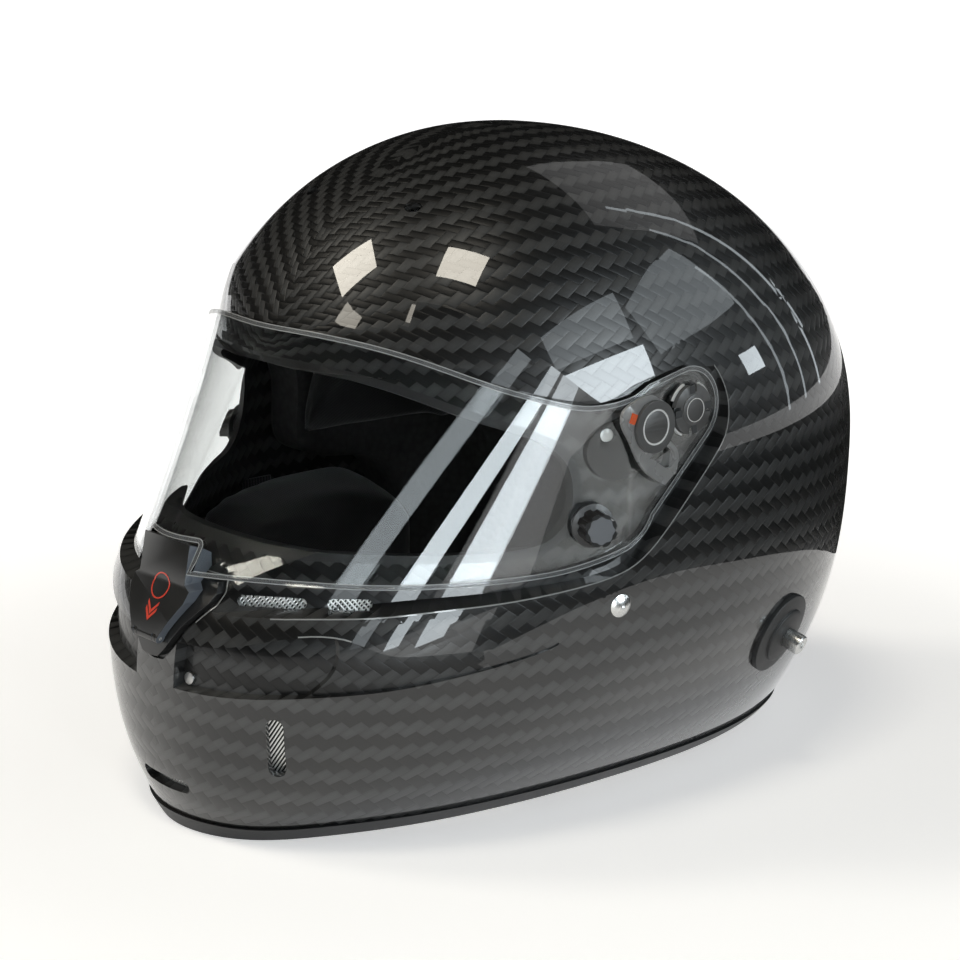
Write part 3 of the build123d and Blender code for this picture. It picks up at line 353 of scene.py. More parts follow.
def maths(operation, *values):
    """A Math node on values that are numbers or other nodes' outputs, one of them at least."""
    tree = next(value.id_data for value in values if not isinstance(value, (int, float)))
    node = tree.nodes.new("ShaderNodeMath")
    node.operation = operation
    for socket, value in zip(node.inputs, values):
        if isinstance(value, (int, float)):
            socket.default_value = value
        else:
            tree.links.new(value, socket)
    return node.outputs[0]


def plus(*values):
    """The sum of two values."""
    return maths("ADD", *values)


def times(*values):
    """The product of two values."""
    return maths("MULTIPLY", *values)


def parts_of(vector):
    """The three numbers of a vector."""
    split = vector.id_data.nodes.new("ShaderNodeSeparateXYZ")
    vector.id_data.links.new(vector, split.inputs[0])
    return split.outputs


def combined(kind, *values):
    """A vector, of kind XYZ, or a colour, of kind Color, from up to three outputs."""
    tree = values[0].id_data
    node = tree.nodes.new("ShaderNodeCombine" + kind)
    for value, socket in zip(values, node.inputs):
        tree.links.new(value, socket)
    return node.outputs[0]


def noise(vector, scale, detail=2.0):
    """Cloudy noise from 0 to 1, read at a vector."""
    tree = vector.id_data
    node = tree.nodes.new("ShaderNodeTexNoise")
    node.inputs["Scale"].default_value = scale
    node.inputs["Detail"].default_value = detail
    tree.links.new(vector, node.inputs["Vector"])
    return node.outputs[0]


def uv_place(material, layer):
    """The two numbers of a UV map, and a third that is 0."""
    place = material.node_tree.nodes.new("ShaderNodeUVMap")
    place.uv_map = layer
    return parts_of(place.outputs[0])


def object_place(material):
    """The place on the object."""
    return material.node_tree.nodes.new("ShaderNodeTexCoord").outputs["Object"]


def drive(material, socket, value):
    """Links a value to a socket of the material's shader."""
    tree = material.node_tree
    tree.links.new(value, tree.nodes["Principled BSDF"].inputs[socket])


def raise_by(material, height, strength, distance):
    """Bumps on the material from a height."""
    bump = material.node_tree.nodes.new("ShaderNodeBump")
    bump.inputs["Strength"].default_value = strength
    bump.inputs["Distance"].default_value = distance
    material.node_tree.links.new(height, bump.inputs["Height"])
    drive(material, "Normal", bump.outputs[0])
    return bump


def finish_of(name, colour, roughness=0.5, **sockets):
    """A material on one Principled shader, with other sockets set by name."""
    material = bpy.data.materials.new(name)
    material.use_nodes = True
    shader = material.node_tree.nodes["Principled BSDF"]
    shader.inputs["Base Color"].default_value = (*colour, 1)
    shader.inputs["Roughness"].default_value = roughness
    for socket, value in sockets.items():
        shader.inputs[socket.replace("_", " ")].default_value = value
    return material


def twill_finish():
    """Clear-coated 2 x 2 twill: bundles cross at 35 degrees to the rows, two over and two under. The two sets
    are painted in two tones, a painted sheen, and each bundle is painted darker towards its edges, painted
    shade.
    """
    tooth, row = 0.74, 0.52
    material = finish_of("carbon_twill", (0.04, 0.04, 0.045), 0.40, Specular_IOR_Level=0.22,
                         Coat_Weight=1.0, Coat_Roughness=0.015, Coat_IOR=1.5)
    tree = material.node_tree
    place = uv_place(material, "cloth")
    s, t = maths("DIVIDE", place[0], tooth), maths("DIVIDE", place[1], row)
    u, v = plus(s, t), maths("SUBTRACT", s, t)
    i, j = maths("FLOOR", u), maths("FLOOR", v)
    over = maths("LESS_THAN", maths("FLOORED_MODULO", maths("SUBTRACT", i, j), 4.0), 1.5)
    under = maths("SUBTRACT", 1.0, over)
    # Place along and across the bundle on top, each from 0 to 1.
    first = maths("FLOORED_MODULO", plus(maths("SUBTRACT", i, v), 1.0), 4.0)
    second = maths("SUBTRACT", maths("FLOORED_MODULO", maths("SUBTRACT", u, j), 4.0), 2.0)
    first, second = maths("DIVIDE", first, 2.0), maths("DIVIDE", second, 2.0)
    along = plus(times(over, first), times(under, second))
    across = plus(times(over, maths("FRACT", u)), times(under, maths("FRACT", v)))
    # Each bundle is a low hill, so its edges fall away, and its colour is painted darker there as painted
    # shade.
    hill, ridge = (times(times(way, maths("SUBTRACT", 1.0, way)), 4.0) for way in (across, along))
    swell = times(maths("POWER", hill, 0.5), maths("POWER", ridge, 0.35))
    # Fine streaks along the fibres, and a little difference from bundle to bundle.
    each = plus(times(i, 7.3), times(j, 3.1))
    streak = combined("XYZ", times(across, 26.0), times(along, 1.6), each)
    grain = noise(streak, 1.0, 1.0)
    lot = tree.nodes.new("ShaderNodeTexWhiteNoise")
    lot.noise_dimensions = "2D"
    tree.links.new(combined("XYZ", i, j), lot.inputs["Vector"])
    # Painted shade towards each bundle's edges, then the fibre streaks and the tone that differs from bundle
    # to bundle.
    light = plus(0.55, times(swell, 0.45))
    light = times(light, plus(0.72, times(grain, 0.56)))
    light = times(light, plus(0.86, times(lot.outputs[0], 0.28)))
    # Painted sheen: bundles on top near black and bundles under dark grey, as the light along each set of
    # fibres differs.
    tone = plus(times(over, 0.007), times(under, 0.050))
    tone = times(tone, light)
    tint = combined("Color", tone, times(tone, 1.02), times(tone, 1.03))
    drive(material, "Base Color", tint)
    raise_by(material, swell, 0.5, 0.0004)
    return material


carbon = twill_finish()


def dress(node, name, material, body="helmet"):
    """A merged copy of a CAD node in its finish, which stands for that node."""
    piece = merged_copy(node, name)
    piece.data.materials.append(material)
    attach(piece, body)
    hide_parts(node)
    return piece


laminate = dress("shell", "laminate", carbon)
recess_depth = sheet + 0.0026
laminate_faces = [
    skin_field,
    lambda p: skin_field(p, back=0.005),
    lambda p: skin_field(p, back=0.003),
    lambda p: visor_field(p, recess_depth, 0.001),
    lambda p: visor_field(p, recess_depth + 0.004, 0.001),
    lambda p: skin_field(p, inset=0.004),
]
follow_form(laminate, laminate_faces, near=0.0022)
lay_cloth(laminate)
# The sunk channels beside the latch get a weaker clear coat that reflects less, painted shade, so they look
# deeper.
channel_shade_carbon = carbon.copy()
channel_shade_carbon.name = "carbon_channel_painted_shade"
channel_shade_carbon.node_tree.nodes["Principled BSDF"].inputs["Coat Weight"].default_value = 0.22
laminate.data.materials.append(channel_shade_carbon)
places, facing = (rows_of(laminate.data.polygons, name) for name in ("center", "normal"))
outward, gap = normals_of(skin_field, places)
# Faces sunk below the skin in those channels take the painted-shade coat.
sunk = (gap < -0.0010) & (gap > -0.012) & ((facing * outward).sum(1) > 0.2)
sunk &= (places[:, 1] < -0.095) & (places[:, 2] > 0.045) & (places[:, 2] < 0.094)
laminate.data.polygons.foreach_set("material_index", sunk.astype(int))


# Rubber beads: extruded black rubber pressed over the edge of the eye port and round the
# rim, where the moulded trim stands proud of the laminate. Both are matt.
def rubber_finish(name, tone, grain_scale=900.0):
    """Black rubber with a faint moulded grain and a slightly uneven shine."""
    material = finish_of(name, (tone, tone, tone * 1.05), 0.5, Specular_IOR_Level=0.45)
    place = object_place(material)
    drive(material, "Roughness", plus(0.38, times(noise(place, 60.0), 0.22)))
    raise_by(material, noise(place, grain_scale, 3.0), 0.25, 0.0002)
    return material


rubber = rubber_finish("black_rubber", 0.018)
rim_bead = dress("bottom_trim", "rim_bead", rubber)
rim_faces = [lambda p: skin_field(p, inset=-0.0012), lambda p: skin_field(p, inset=0.0052)]
follow_form(rim_bead, rim_faces, longest=0.008, near=0.0022)
port_bead = dress("eyeport_gasket", "port_bead", rubber)
lay_true_normals(port_bead, laminate_faces)


# The visor: a 3 mm polycarbonate sheet, moulded clear, with a very slight smoke, polished
# edges and a hard coat. It hangs from its two arms.
def clear_finish():
    """Clear sheet that bends the light as polycarbonate does, with a sharp shine."""
    return finish_of("visor_sheet", (0.93, 0.95, 0.95), 0.0, IOR=1.5, Transmission_Weight=1.0)


visor = dress("visor", "visor_sheet", clear_finish(), body="visor")
follow_form(visor, [visor_field, lambda p: visor_field(p, sheet)])


def new_piece(name, points, faces, material):
    """A new object of points and faces in one finish."""
    mesh = bpy.data.meshes.new(name)
    mesh.from_pydata(points.tolist(), [], faces)
    mesh.materials.append(material)
    return in_scene(name, mesh)


def ramp_of(value, *stops):
    """A ramp between colours, each stop a place on it and a colour, read at a value."""
    tree = value.id_data
    ramp = tree.nodes.new("ShaderNodeValToRGB")
    for element, (place, colour) in zip(ramp.color_ramp.elements, stops):
        element.position = place
        element.color = (*colour, 1)
    tree.links.new(value, ramp.inputs[0])
    return ramp.outputs[0]


def edge_band(name, piece, field, width, lift, material, body, where=None):
    """A band of a width just inside the border of the faces of a piece that lie on a form.

    Each point of the border moves along the form's normal by the lift. Its partner moves by
    the width too, square to the border and into the face. The UV map's v runs across it.
    """
    points, corners, _ = corner_arrays(piece.data)
    faces = corners.reshape(-1, 3)
    ways, gap = normals_of(field, points)
    a, b, c = points[faces.T]
    square = np.cross(b - a, c - a)
    square /= np.linalg.norm(square, axis=1)[:, None] + 1e-12
    agree = (square * ways[faces].mean(1)).sum(1)
    on_form = (agree > 0.8) & (np.abs(gap) < touching)[faces].all(1)
    turned = agree < 0.6
    pairs = [
        np.concatenate([some[:, [0, 1]], some[:, [1, 2]], some[:, [2, 0]]])
        for some in (faces[on_form], faces[turned])
    ]
    keys = [np.sort(edges, 1) @ [len(points), 1] for edges in pairs]
    border = pairs[0][np.isin(keys[0], keys[1])]
    if where is not None:
        border = border[where(points[border].mean(1))]
    inward = np.cross(ways[border].mean(1), points[border[:, 1]] - points[border[:, 0]])
    inward /= np.linalg.norm(inward, axis=1)[:, None] + 1e-12
    total = np.zeros_like(points)
    np.add.at(total, border.ravel(), np.repeat(inward, 2, axis=0))
    used = np.unique(border)
    total = total[used] / (np.linalg.norm(total[used], axis=1)[:, None] + 1e-12)
    outer = points[used] + ways[used] * lift
    number = np.zeros(len(points), int)
    number[used] = np.arange(len(used))
    a, b = number[border[:, 0]], number[border[:, 1]]
    quads = np.stack([a, b, b + len(used), a + len(used)], 1)
    band = new_piece(name, np.concatenate([outer, outer + total * width]), quads.tolist(), material)
    across = np.tile([0.0, 0.0, 1.0, 1.0], len(quads))
    layer = band.data.uv_layers.new(name="band")
    layer.data.foreach_set("uv", np.stack([across * 0, across], 1).ravel())
    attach(band, body)


def edge_glint_finish():
    """A band over the sheet's chamfered, polished edge, half clear: dark grey in the middle and pale along
    both borders, painted shade and painted highlights of the edge.
    """
    material = finish_of("sheet_edge_glint", (0.5, 0.52, 0.53), 0.18, Alpha=0.55)
    across = uv_place(material, "band")[1]
    aside = times(maths("ABSOLUTE", maths("SUBTRACT", across, 0.5)), 2.0)
    drive(material, "Base Color", ramp_of(aside, (0.55, (0.20, 0.21, 0.22)), (0.92, (0.85, 0.88, 0.90))))
    return material


# A band of painted highlights just inside the visor's edge.
edge_band("sheet_edge_glint", visor, visor_field, 0.0020, 0.00006, edge_glint_finish(), "visor")
# A thin pale grey band with a clear coat along the recess's lip: a painted highlight where the coat's rounded
# lip catches the light.
lip_highlight = finish_of("lip_highlight", (0.32, 0.33, 0.33), 0.15, Coat_Weight=1.0, Coat_Roughness=0.02)


def along_lip(points):
    """True round the arm's end and along the recess's lower side, where the lip's painted highlight goes."""
    _, y, z = points.T
    return (y < 0.025) & (z > 0.090) & ((y > -0.022) | (z < 0.125)) & (z < 0.2)


edge_band("recess_lip_highlight", laminate, skin_field, 0.00055, 0.00008, lip_highlight, "helmet", along_lip)


# Turned and pressed steel: hinge screws, channel screws, latch pin, anchor nuts, strap
# rivets, strap rings and anchor posts, all bright and lightly brushed.
def steel_finish(name, tone, roughness):
    """Steel with fine upright brush lines in its roughness and its surface."""
    material = finish_of(name, (tone, tone, tone * 0.98), roughness, Metallic=1.0)
    tree = material.node_tree
    draw = tree.nodes.new("ShaderNodeMapping")
    draw.inputs["Scale"].default_value = (1, 1, 0.06)
    tree.links.new(object_place(material), draw.inputs["Vector"])
    lines = noise(draw.outputs[0], 2200.0)
    drive(material, "Roughness", plus(roughness - 0.07, times(lines, 0.18)))
    raise_by(material, lines, 0.1, 0.00005)
    return material


def softened(piece, width, segments=2):
    """Rounds a piece's sharp edges by a small bevel, and keeps its flats flat."""
    bevel = piece.modifiers.new("edges", "BEVEL")
    bevel.width = width
    bevel.segments = segments
    bevel.limit_method = "ANGLE"
    bevel.angle_limit = np.radians(40.0)
    bevel.harden_normals = True


steel = steel_finish("bright_steel", 0.62, 0.26)
screw_steel = steel_finish("screw_steel", 0.42, 0.34)
for node, name, width, finish in (
    ("hinge_screws", "hinge_screw_pair", 0.00018, screw_steel),
    ("channel_screws", "channel_screw_pair", 0.00018, screw_steel),
    ("latch_pin", "latch_pin_rod", 0.0001, steel),
    ("anchor_nuts", "anchor_nut_pair", 0.0002, steel),
    ("strap_rivets", "rivet_pair", 0.00012, steel),
    ("anchor_posts", "anchor_post_pair", 0.00018, steel),
):
    softened(dress(node, name, finish), width)
softened(dress("strap_rings", "strap_ring_pair", steel, body="strap_rings"), 0.0008, 3)


# Head-restraint anchors: an anodised ring let into the laminate round each post.
anodised = rubber_finish("anodised_black", 0.012, 1400.0)
softened(dress("anchor_rings", "anchor_ring_pair", anodised), 0.0003)


# Vent mesh: woven wire cloth in a thin frame behind each slot, plain weave of bright wire
# in the ledge slots, and a ribbed, diagonal screen in the chin slots.
def wire_finish(name, tone, pitch, turn, crossed=True):
    """Wire at a pitch in millimetres and a turn: one set of raised bright strands, or two crossed, with the
    gaps between them painted near black, painted shade in the openings.
    """
    material = finish_of(name, (tone, tone, tone), 0.35, Metallic=0.9)
    width, height = uv_place(material, "weave")[:2]
    c, s = float(np.cos(turn)), float(np.sin(turn))
    a = plus(times(width, c / pitch), times(height, s / pitch))
    b = maths("SUBTRACT", times(height, c / pitch), times(width, s / pitch))
    strands = []
    for way in (a, b):
        wave = maths("ABSOLUTE", maths("SINE", times(way, float(np.pi))))
        strands.append(maths("POWER", wave, 1.6))
    weave = maths("MAXIMUM", strands[0], strands[1]) if crossed else strands[0]
    # The gaps between the strands are painted near black: painted shade in the openings.
    shade = ramp_of(weave, (0.30, (0.012, 0.012, 0.012)), (0.75, (tone, tone, tone * 0.98)))
    drive(material, "Base Color", shade)
    raise_by(material, weave, 0.8, 0.0003)
    return material


wire_cloth = wire_finish("wire_cloth", 0.82, 1.25, 0.78)
ribbed_screen = wire_finish("ribbed_screen", 0.80, 1.36, 2.53, crossed=False)


def lay_weave(piece):
    """Writes each corner's place on its screen, in millimetres, to the UV map.

    Across is the angle round the helmet times the screens' mean distance from its axis, up
    is the height plus 0.6 of the distance.
    """
    points, corners, _ = corner_arrays(piece.data)
    far = np.hypot(points[:, 0], points[:, 1])
    u = np.arctan2(points[:, 0], -points[:, 1]) * far.mean() * 1000
    v = (points[:, 2] + 0.6 * far) * 1000
    piece.data.uv_layers.new(name="weave").data.foreach_set("uv", np.stack([u, v], 1)[corners].ravel())


for node, name, finish in (
    ("brow_meshes", "brow_screen_pair", wire_cloth),
    ("ledge_meshes", "ledge_screen_set", wire_cloth),
    ("chin_side_meshes", "cheek_screen_pair", ribbed_screen),
    ("chin_foot_mesh", "foot_screen", wire_cloth),
):
    lay_weave(dress(node, name, finish))


# Moulded black nylon: the latch base and lever, the hinge bases and the tear-off posts and
# knobs, with the fine satin texture of a tool-finished moulding.
def moulded_finish(name, tone, roughness, tint=(1.0, 1.0, 1.0)):
    """Moulded plastic with a fine satin grain, slightly polished where hands rub it."""
    material = finish_of(name, tuple(tone * part for part in tint), roughness)
    place = object_place(material)
    drive(material, "Roughness", plus(roughness - 0.08, times(noise(place, 90.0), 0.16)))
    raise_by(material, noise(place, 2600.0), 0.12, 0.0001)
    return material


black_nylon = moulded_finish("black_nylon", 0.016, 0.34)
softened(dress("latch_base", "latch_foot", black_nylon), 0.0005, 3)
latch = dress("latch_lever", "latch_tab", black_nylon, body="latch_lever")
grey_flank = moulded_finish("latch_flank", 0.13, 0.30, (0.86, 0.97, 1.15))
latch.data.materials.append(grey_flank)
flank = np.abs(rows_of(latch.data.polygons, "normal")[:, 0]) > 0.45
latch.data.polygons.foreach_set("material_index", flank.astype(int))
softened(latch, 0.0006, 3)


def face_outward(mesh):
    """Turns all faces of a closed mesh outward."""
    faces = bmesh.new()
    faces.from_mesh(mesh)
    bmesh.ops.recalc_face_normals(faces, faces=faces.faces)
    faces.to_mesh(mesh)
    faces.free()


def flat_piece(name, outline, centre, out, height, material, body, hole=None, onto=None):
    """A thin flat piece: its outline's points laid on a plane and raised by a height.

    A point is the centre plus its first number across and its second up the plane. With a
    hole of as many points, it is the band between the two.
    """
    out = np.array(out) / np.linalg.norm(out)
    up = np.array([0.0, 0.0, 1.0]) - out * out[2]
    up /= np.linalg.norm(up)
    across = np.cross(up, out)
    count = len(outline)

    def laid(points, lift):
        places = np.array(centre) + points[:, :1] * across + points[:, 1:] * up
        return (places if onto is None else onto(places)) + out * lift

    runs = [laid(outline, 0), laid(outline, height)]
    ring = np.arange(count)
    after = (ring + 1) % count
    faces = [np.stack([ring, after, after + count, ring + count], 1)]
    if hole is None:
        polygons = [ring[::-1].tolist(), (ring + count).tolist()]
    else:
        runs += [laid(hole, height), laid(hole, 0)]
        for k in range(1, 4):
            low, high = k * count, (k + 1) % 4 * count
            faces.append(np.stack([ring + low, after + low, after + high, ring + high], 1))
        polygons = []
    piece = new_piece(name, np.concatenate(runs), np.concatenate(faces).tolist() + polygons, material)
    face_outward(piece.data)
    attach(piece, body)


def circle(radius, start=0.0, end=360.0, count=64):
    """Points round a circle from one angle towards another, in degrees."""
    turn = np.radians(np.linspace(start, end, count, endpoint=False))
    return radius * np.stack([np.cos(turn), np.sin(turn)], 1)


# Printed marks on the latch: a plain oval line and two arrow heads that say press down.
red_ink = moulded_finish("red_ink", 0.75, 0.35, (1.0, 0.10, 0.06))
latch_face = (0.0, -0.885, 0.466)


def on_latch(points):
    """Points moved fore and aft to the latch's front, the further forward of its two planes."""
    x, _, z = points.T
    y = np.minimum((0.184 * z - 0.184519) / 0.983, (0.466 * z - 0.196640) / 0.885)
    return np.stack([x, y, z], 1)


ink = 0.00012
flat_piece("latch_oval", circle(0.0055), (0.0006, -0.1693, 0.1005), latch_face, ink,
           red_ink, "latch_lever", hole=circle(0.0049), onto=on_latch)
arrow = np.array([(0, -1), (1, 0.6), (1, 1.15), (0, -0.3), (-1, 1.15), (-1, 0.6)]) * (0.0034, 0.0026)
for number, drop in enumerate((0.0, 0.0026)):
    flat_piece(f"latch_arrow_{number}", arrow + (0, 0.0006 - drop), (0.0004, -0.1738, 0.0918), latch_face,
               ink, red_ink, "latch_lever", onto=on_latch)
base_plate = moulded_finish("polished_nylon", 0.010, 0.12)
softened(dress("hinge_bases", "hinge_base_pair", base_plate), 0.0005, 3)
studs = dress("tear_off_studs", "tear_off_stud_pair", black_nylon, body="visor")
softened(studs, 0.0003)
knob_grey = moulded_finish("knob_grey", 0.16, 0.42, (0.92, 0.98, 1.08))
lobes = circle(1.0)
lobes = lobes * (0.0051 + 0.0003 * np.cos(8 * np.arctan2(lobes[:, 1], lobes[:, 0])))[:, None]
for side, outward in (("left", 1), ("right", -1)):
    knob = dress(f"tear_off_knob_{side}", f"film_knob_{side}", black_nylon,
                 body=f"tear_off_knob_{side}")
    softened(knob, 0.0005, 3)
    way = np.array([0.915 * outward, -0.4023, 0.0305])
    top = np.array([0.116699 * outward, -0.052, 0.1285]) + way * 0.01031
    flat_piece(f"knob_face_{side}", lobes, top, way, 0.0002, knob_grey, f"tear_off_knob_{side}")


# Hinge discs and release caps in grey acetal; the levers are a smoky, see-through moulding
# with an orange mark that shows through the release cap's rim.
grey_acetal = moulded_finish("grey_acetal", 0.085, 0.36)
softened(dress("hinge_discs", "hinge_disc_pair", grey_acetal), 0.0003)
softened(dress("release_caps", "release_cap_pair", grey_acetal, body="visor"), 0.0003)
white_ink = moulded_finish("white_ink", 0.80, 0.35)
# Near white, for the painted highlights round the hinge discs.
arc_glint = moulded_finish("arc_glint", 0.72, 0.25)
# Near black, for the painted shade in the hinge discs' notches.
notch_shade = moulded_finish("notch_shade", 0.004, 0.6)
cap_centre, disc_centre = (-0.0275, 0.1645), (-0.0067, 0.1684)
notch_start, notch_end, notch_half = 0.0063, 0.0097, 0.0014
for side, way in (("left", 1.0), ("right", -1.0)):
    out = (way, 0, 0)
    flat_piece(f"cap_line_{side}", circle(0.0070), (way * 0.1250, *cap_centre), out, 0.00032,
               white_ink, "visor", hole=circle(0.0063))
    flat_piece(f"disc_line_{side}", circle(0.0047), (way * 0.1257, *disc_centre), out, ink,
               white_ink, "helmet", hole=circle(0.0044))
    # White arcs round the hinge disc, open at its notches: painted highlights on the edges of the visor's
    # cut-outs there.
    for turn in (20, 110, 200, 290):
        outer, inner = circle(0.0109, turn, turn + 50, 14), circle(0.0102, turn, turn + 50, 14)
        flat_piece(f"disc_clip_{side}_{turn}", np.concatenate([outer, inner[::-1]]),
                   (way * 0.12205, *disc_centre), out, 0.0009, arc_glint, "visor")
        # A flat black patch over each notch of the disc: painted shade in the notch.
        c, s = np.cos(np.radians(turn - 14)), np.sin(np.radians(turn - 14))
        box = np.array([(notch_start, -notch_half), (notch_end, -notch_half),
                        (notch_end, notch_half), (notch_start, notch_half)])
        flat_piece(f"disc_notch_{side}_{turn}", box @ [(c, s), (-s, c)],
                   (way * 0.12451, *disc_centre), out, 0.00008, notch_shade, "helmet")
smoky = moulded_finish("smoky_moulding", 0.42, 0.28)
smoky.node_tree.nodes["Principled BSDF"].inputs["Transmission Weight"].default_value = 0.45
orange = moulded_finish("orange_mark", 1.0, 0.4, (0.78, 0.10, 0.01))
for side in ("left", "right"):
    lever = dress(f"release_lever_{side}", f"release_arm_{side}", smoky,
                  body=f"release_lever_{side}")
    softened(lever, 0.0004)
    mark = dress(f"lever_mark_{side}", f"orange_mark_{side}", orange,
                 body=f"release_lever_{side}")
    softened(mark, 0.0001)


# The liner: moulded grey polystyrene beads behind the laminate, seen only at its edges.
def bead_foam_finish():
    """Moulded bead foam: cells about 3 mm across with darker seams between them."""
    material = finish_of("bead_foam", (0.035, 0.035, 0.037), 0.8)
    tree = material.node_tree
    cells = tree.nodes.new("ShaderNodeTexVoronoi")
    cells.inputs["Scale"].default_value = 320.0
    tree.links.new(object_place(material), cells.inputs["Vector"])
    tone = maths("SUBTRACT", 0.045, times(cells.outputs[0], 0.022))
    drive(material, "Base Color", combined("Color", tone, tone, tone))
    raise_by(material, cells.outputs[0], 0.5, 0.0004).invert = True
    return material


bead_foam = bead_foam_finish()
dress("impact_liner", "bead_liner", bead_foam)


# Padding: knitted black fire-resistant fabric sewn over soft foam, on the head, the cheeks
# and round the neck. Each pad swells over its foam and pulls in at its edges.
def waves(place, pitch):
    """A sine along a place, one wave to each pitch."""
    return maths("SINE", times(place, float(2 * np.pi / pitch)))


def knit_finish(name, tone):
    """Fine knit: small raised loops in offset rows, painted lighter where they rise, painted shading of the
    loops, with a soft sheen and a cloudy lint-grey tone.
    """
    material = finish_of(name, (tone, tone, tone), 0.92, Sheen_Weight=0.35, Sheen_Roughness=0.5)
    place = object_place(material)
    x, y, z = parts_of(place)
    rows, lines = waves(plus(x, y), 0.0016), waves(plus(z, times(y, 0.35)), 0.0013)
    loops = plus(0.5, times(times(rows, lines), 0.5))
    # Painted shading: lighter where the loops rise, then a cloudy lint-grey tone.
    light = times(plus(0.7, times(loops, 0.5)), plus(0.75, times(noise(place, 180.0, 4.0), 0.5)))
    shade = times(light, tone)
    drive(material, "Base Color", combined("Color", shade, shade, shade))
    raise_by(material, loops, 0.35, 0.0003)
    return material


def pull_in(piece, inset, reach, voxel):
    """A pad from a CAD solid: remeshed, puffed by cloth pressure, capped, then subdivided.

    It starts an inset inside the solid, and no point may move further than reach from there.
    """
    remesh = piece.modifiers.new("even", "REMESH")
    remesh.mode = "VOXEL"
    remesh.voxel_size = voxel
    even = evaluated_mesh(piece)
    piece.modifiers.clear()
    piece.data = even
    start = rows_of(even.vertices, "co") - rows_of(even.vertices, "normal") * inset
    even.vertices.foreach_set("co", start.ravel())
    even.update()
    cloth = piece.modifiers.new("stuffing", "CLOTH")
    cloth.settings.use_pressure = True
    cloth.settings.uniform_pressure_force = 4.0
    cloth.settings.effector_weights.gravity = 0.0
    cloth.settings.quality = 4
    cloth.point_cache.frame_start, cloth.point_cache.frame_end = 1, 20
    for step in range(1, 21):
        bpy.context.scene.frame_set(step)
    puffed = evaluated_mesh(piece)
    piece.modifiers.clear()
    move = rows_of(puffed.vertices, "co") - start
    far = np.linalg.norm(move, axis=1)[:, None] + 1e-9
    start = start + move * np.minimum(1, reach / far)
    bpy.context.scene.frame_set(1)
    even.vertices.foreach_set("co", start.ravel())
    shade_smooth(even)
    even.update()
    rounder = piece.modifiers.new("rounder", "SUBSURF")
    rounder.levels = rounder.render_levels = 1
    return piece


black_knit = knit_finish("black_knit", 0.010)
for node, name, voxel in (
    ("comfort_liner", "head_pad", 0.006),
    ("cheek_pad_left", "cheek_cushion_left", 0.005),
    ("cheek_pad_right", "cheek_cushion_right", 0.005),
    ("neck_roll", "neck_cushion", 0.005),
):
    pad = dress(node, name, black_knit)
    pull_in(pad, 0.0012, 0.005, voxel)

dress("chin_liner", "chin_foam", bead_foam)


# Chin strap: two lengths of black woven webbing, riveted each side, the right one looped
# round the two steel rings.
def webbing_finish():
    """Ribbed webbing: ribs 1.6 mm apart along it with a fine cross thread."""
    material = finish_of("black_webbing", (0.02, 0.02, 0.022), 0.75, Sheen_Weight=0.2)
    x, y, z = parts_of(object_place(material))
    height = plus(waves(y, 0.0016), times(waves(plus(x, z), 0.0011), 0.5))
    raise_by(material, height, 0.7, 0.0003)
    return material


webbing = webbing_finish()
strap_run = np.array([
    (114.4, 101.5), (113.5, 91.0), (111.9, 80.0), (109.4, 70.0), (106.6, 61.0), (103.5, 53.0),
    (97.35, 41.1), (91.4, 31.4), (85.3, 22.6), (82.4, 19.3), (79.6, 17.0), (75.8, 14.8), (71.0, 13.1),
    (65.5, 11.9), (59.6, 11.5), (50.0, 12.0), (40.2, 12.7), (31.7, 12.9), (24.24, 12.0),
]) / 1000
strap_middle, strap_half, strap_thin = -0.0402, 0.008, 0.001


def strap_mesh(name, run, node):
    """Webbing of a flat, round-cornered section carried along a smooth run of (x, z) points."""
    count = 8 * len(run)
    x, z = smooth_through(run[:, 0], count), smooth_through(run[:, 1], count)
    dx, dz = np.gradient(x), np.gradient(z)
    size = np.hypot(dx, dz)
    turn = np.linspace(0, 2 * np.pi, 24, endpoint=False)
    wide = strap_half * np.sign(np.cos(turn)) * np.abs(np.cos(turn)) ** 0.25
    thick = strap_thin * np.sign(np.sin(turn)) * np.abs(np.sin(turn)) ** 0.5
    points = np.stack([
        x[:, None] - (dz / size)[:, None] * thick,
        np.broadcast_to(strap_middle + wide, (count, 24)),
        z[:, None] + (dx / size)[:, None] * thick,
    ], axis=-1).reshape(-1, 3)
    number = np.arange(count * 24).reshape(count, 24)
    after = np.roll(number, -1, axis=1)
    faces = np.stack([number[:-1], after[:-1], after[1:], number[1:]], axis=-1).reshape(-1, 4)
    ends = [number[0][::-1].tolist(), number[-1].tolist()]
    strap = new_piece(name, points, faces.tolist() + ends, webbing)
    shade_smooth(strap.data)
    face_outward(strap.data)
    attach(strap, "helmet")
    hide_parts(node)


strap_mesh("strap_webbing_left", strap_run, "chin_strap_left")
loop = np.radians(np.linspace(150, -150, 13))
loop = np.stack([-0.019338 + 0.0049 * np.cos(loop), 0.012 + 0.0049 * np.sin(loop)], 1)
tail = [(-0.0285, 0.0098), (-0.040, 0.0106)]
over_rings = np.concatenate([strap_run[:-1] * (-1, 1), [(-0.0275, 0.0137)], loop, tail])
strap_mesh("strap_webbing_right", over_rings, "chin_strap_right")


# Floor and backdrop: plain, pale and matt, white to the eye and to reflections.
def seen_directly(tree):
    """1 for what the camera sees, also in a mirror or through clear sheet, and 0 for other light."""
    rays = tree.nodes.new("ShaderNodeLightPath")
    camera_ray, glossy_ray, through_ray = (
        rays.outputs[f"Is {kind} Ray"] for kind in ("Camera", "Glossy", "Transmission"))
    return maths("MAXIMUM", camera_ray, maths("MAXIMUM", glossy_ray, through_ray))


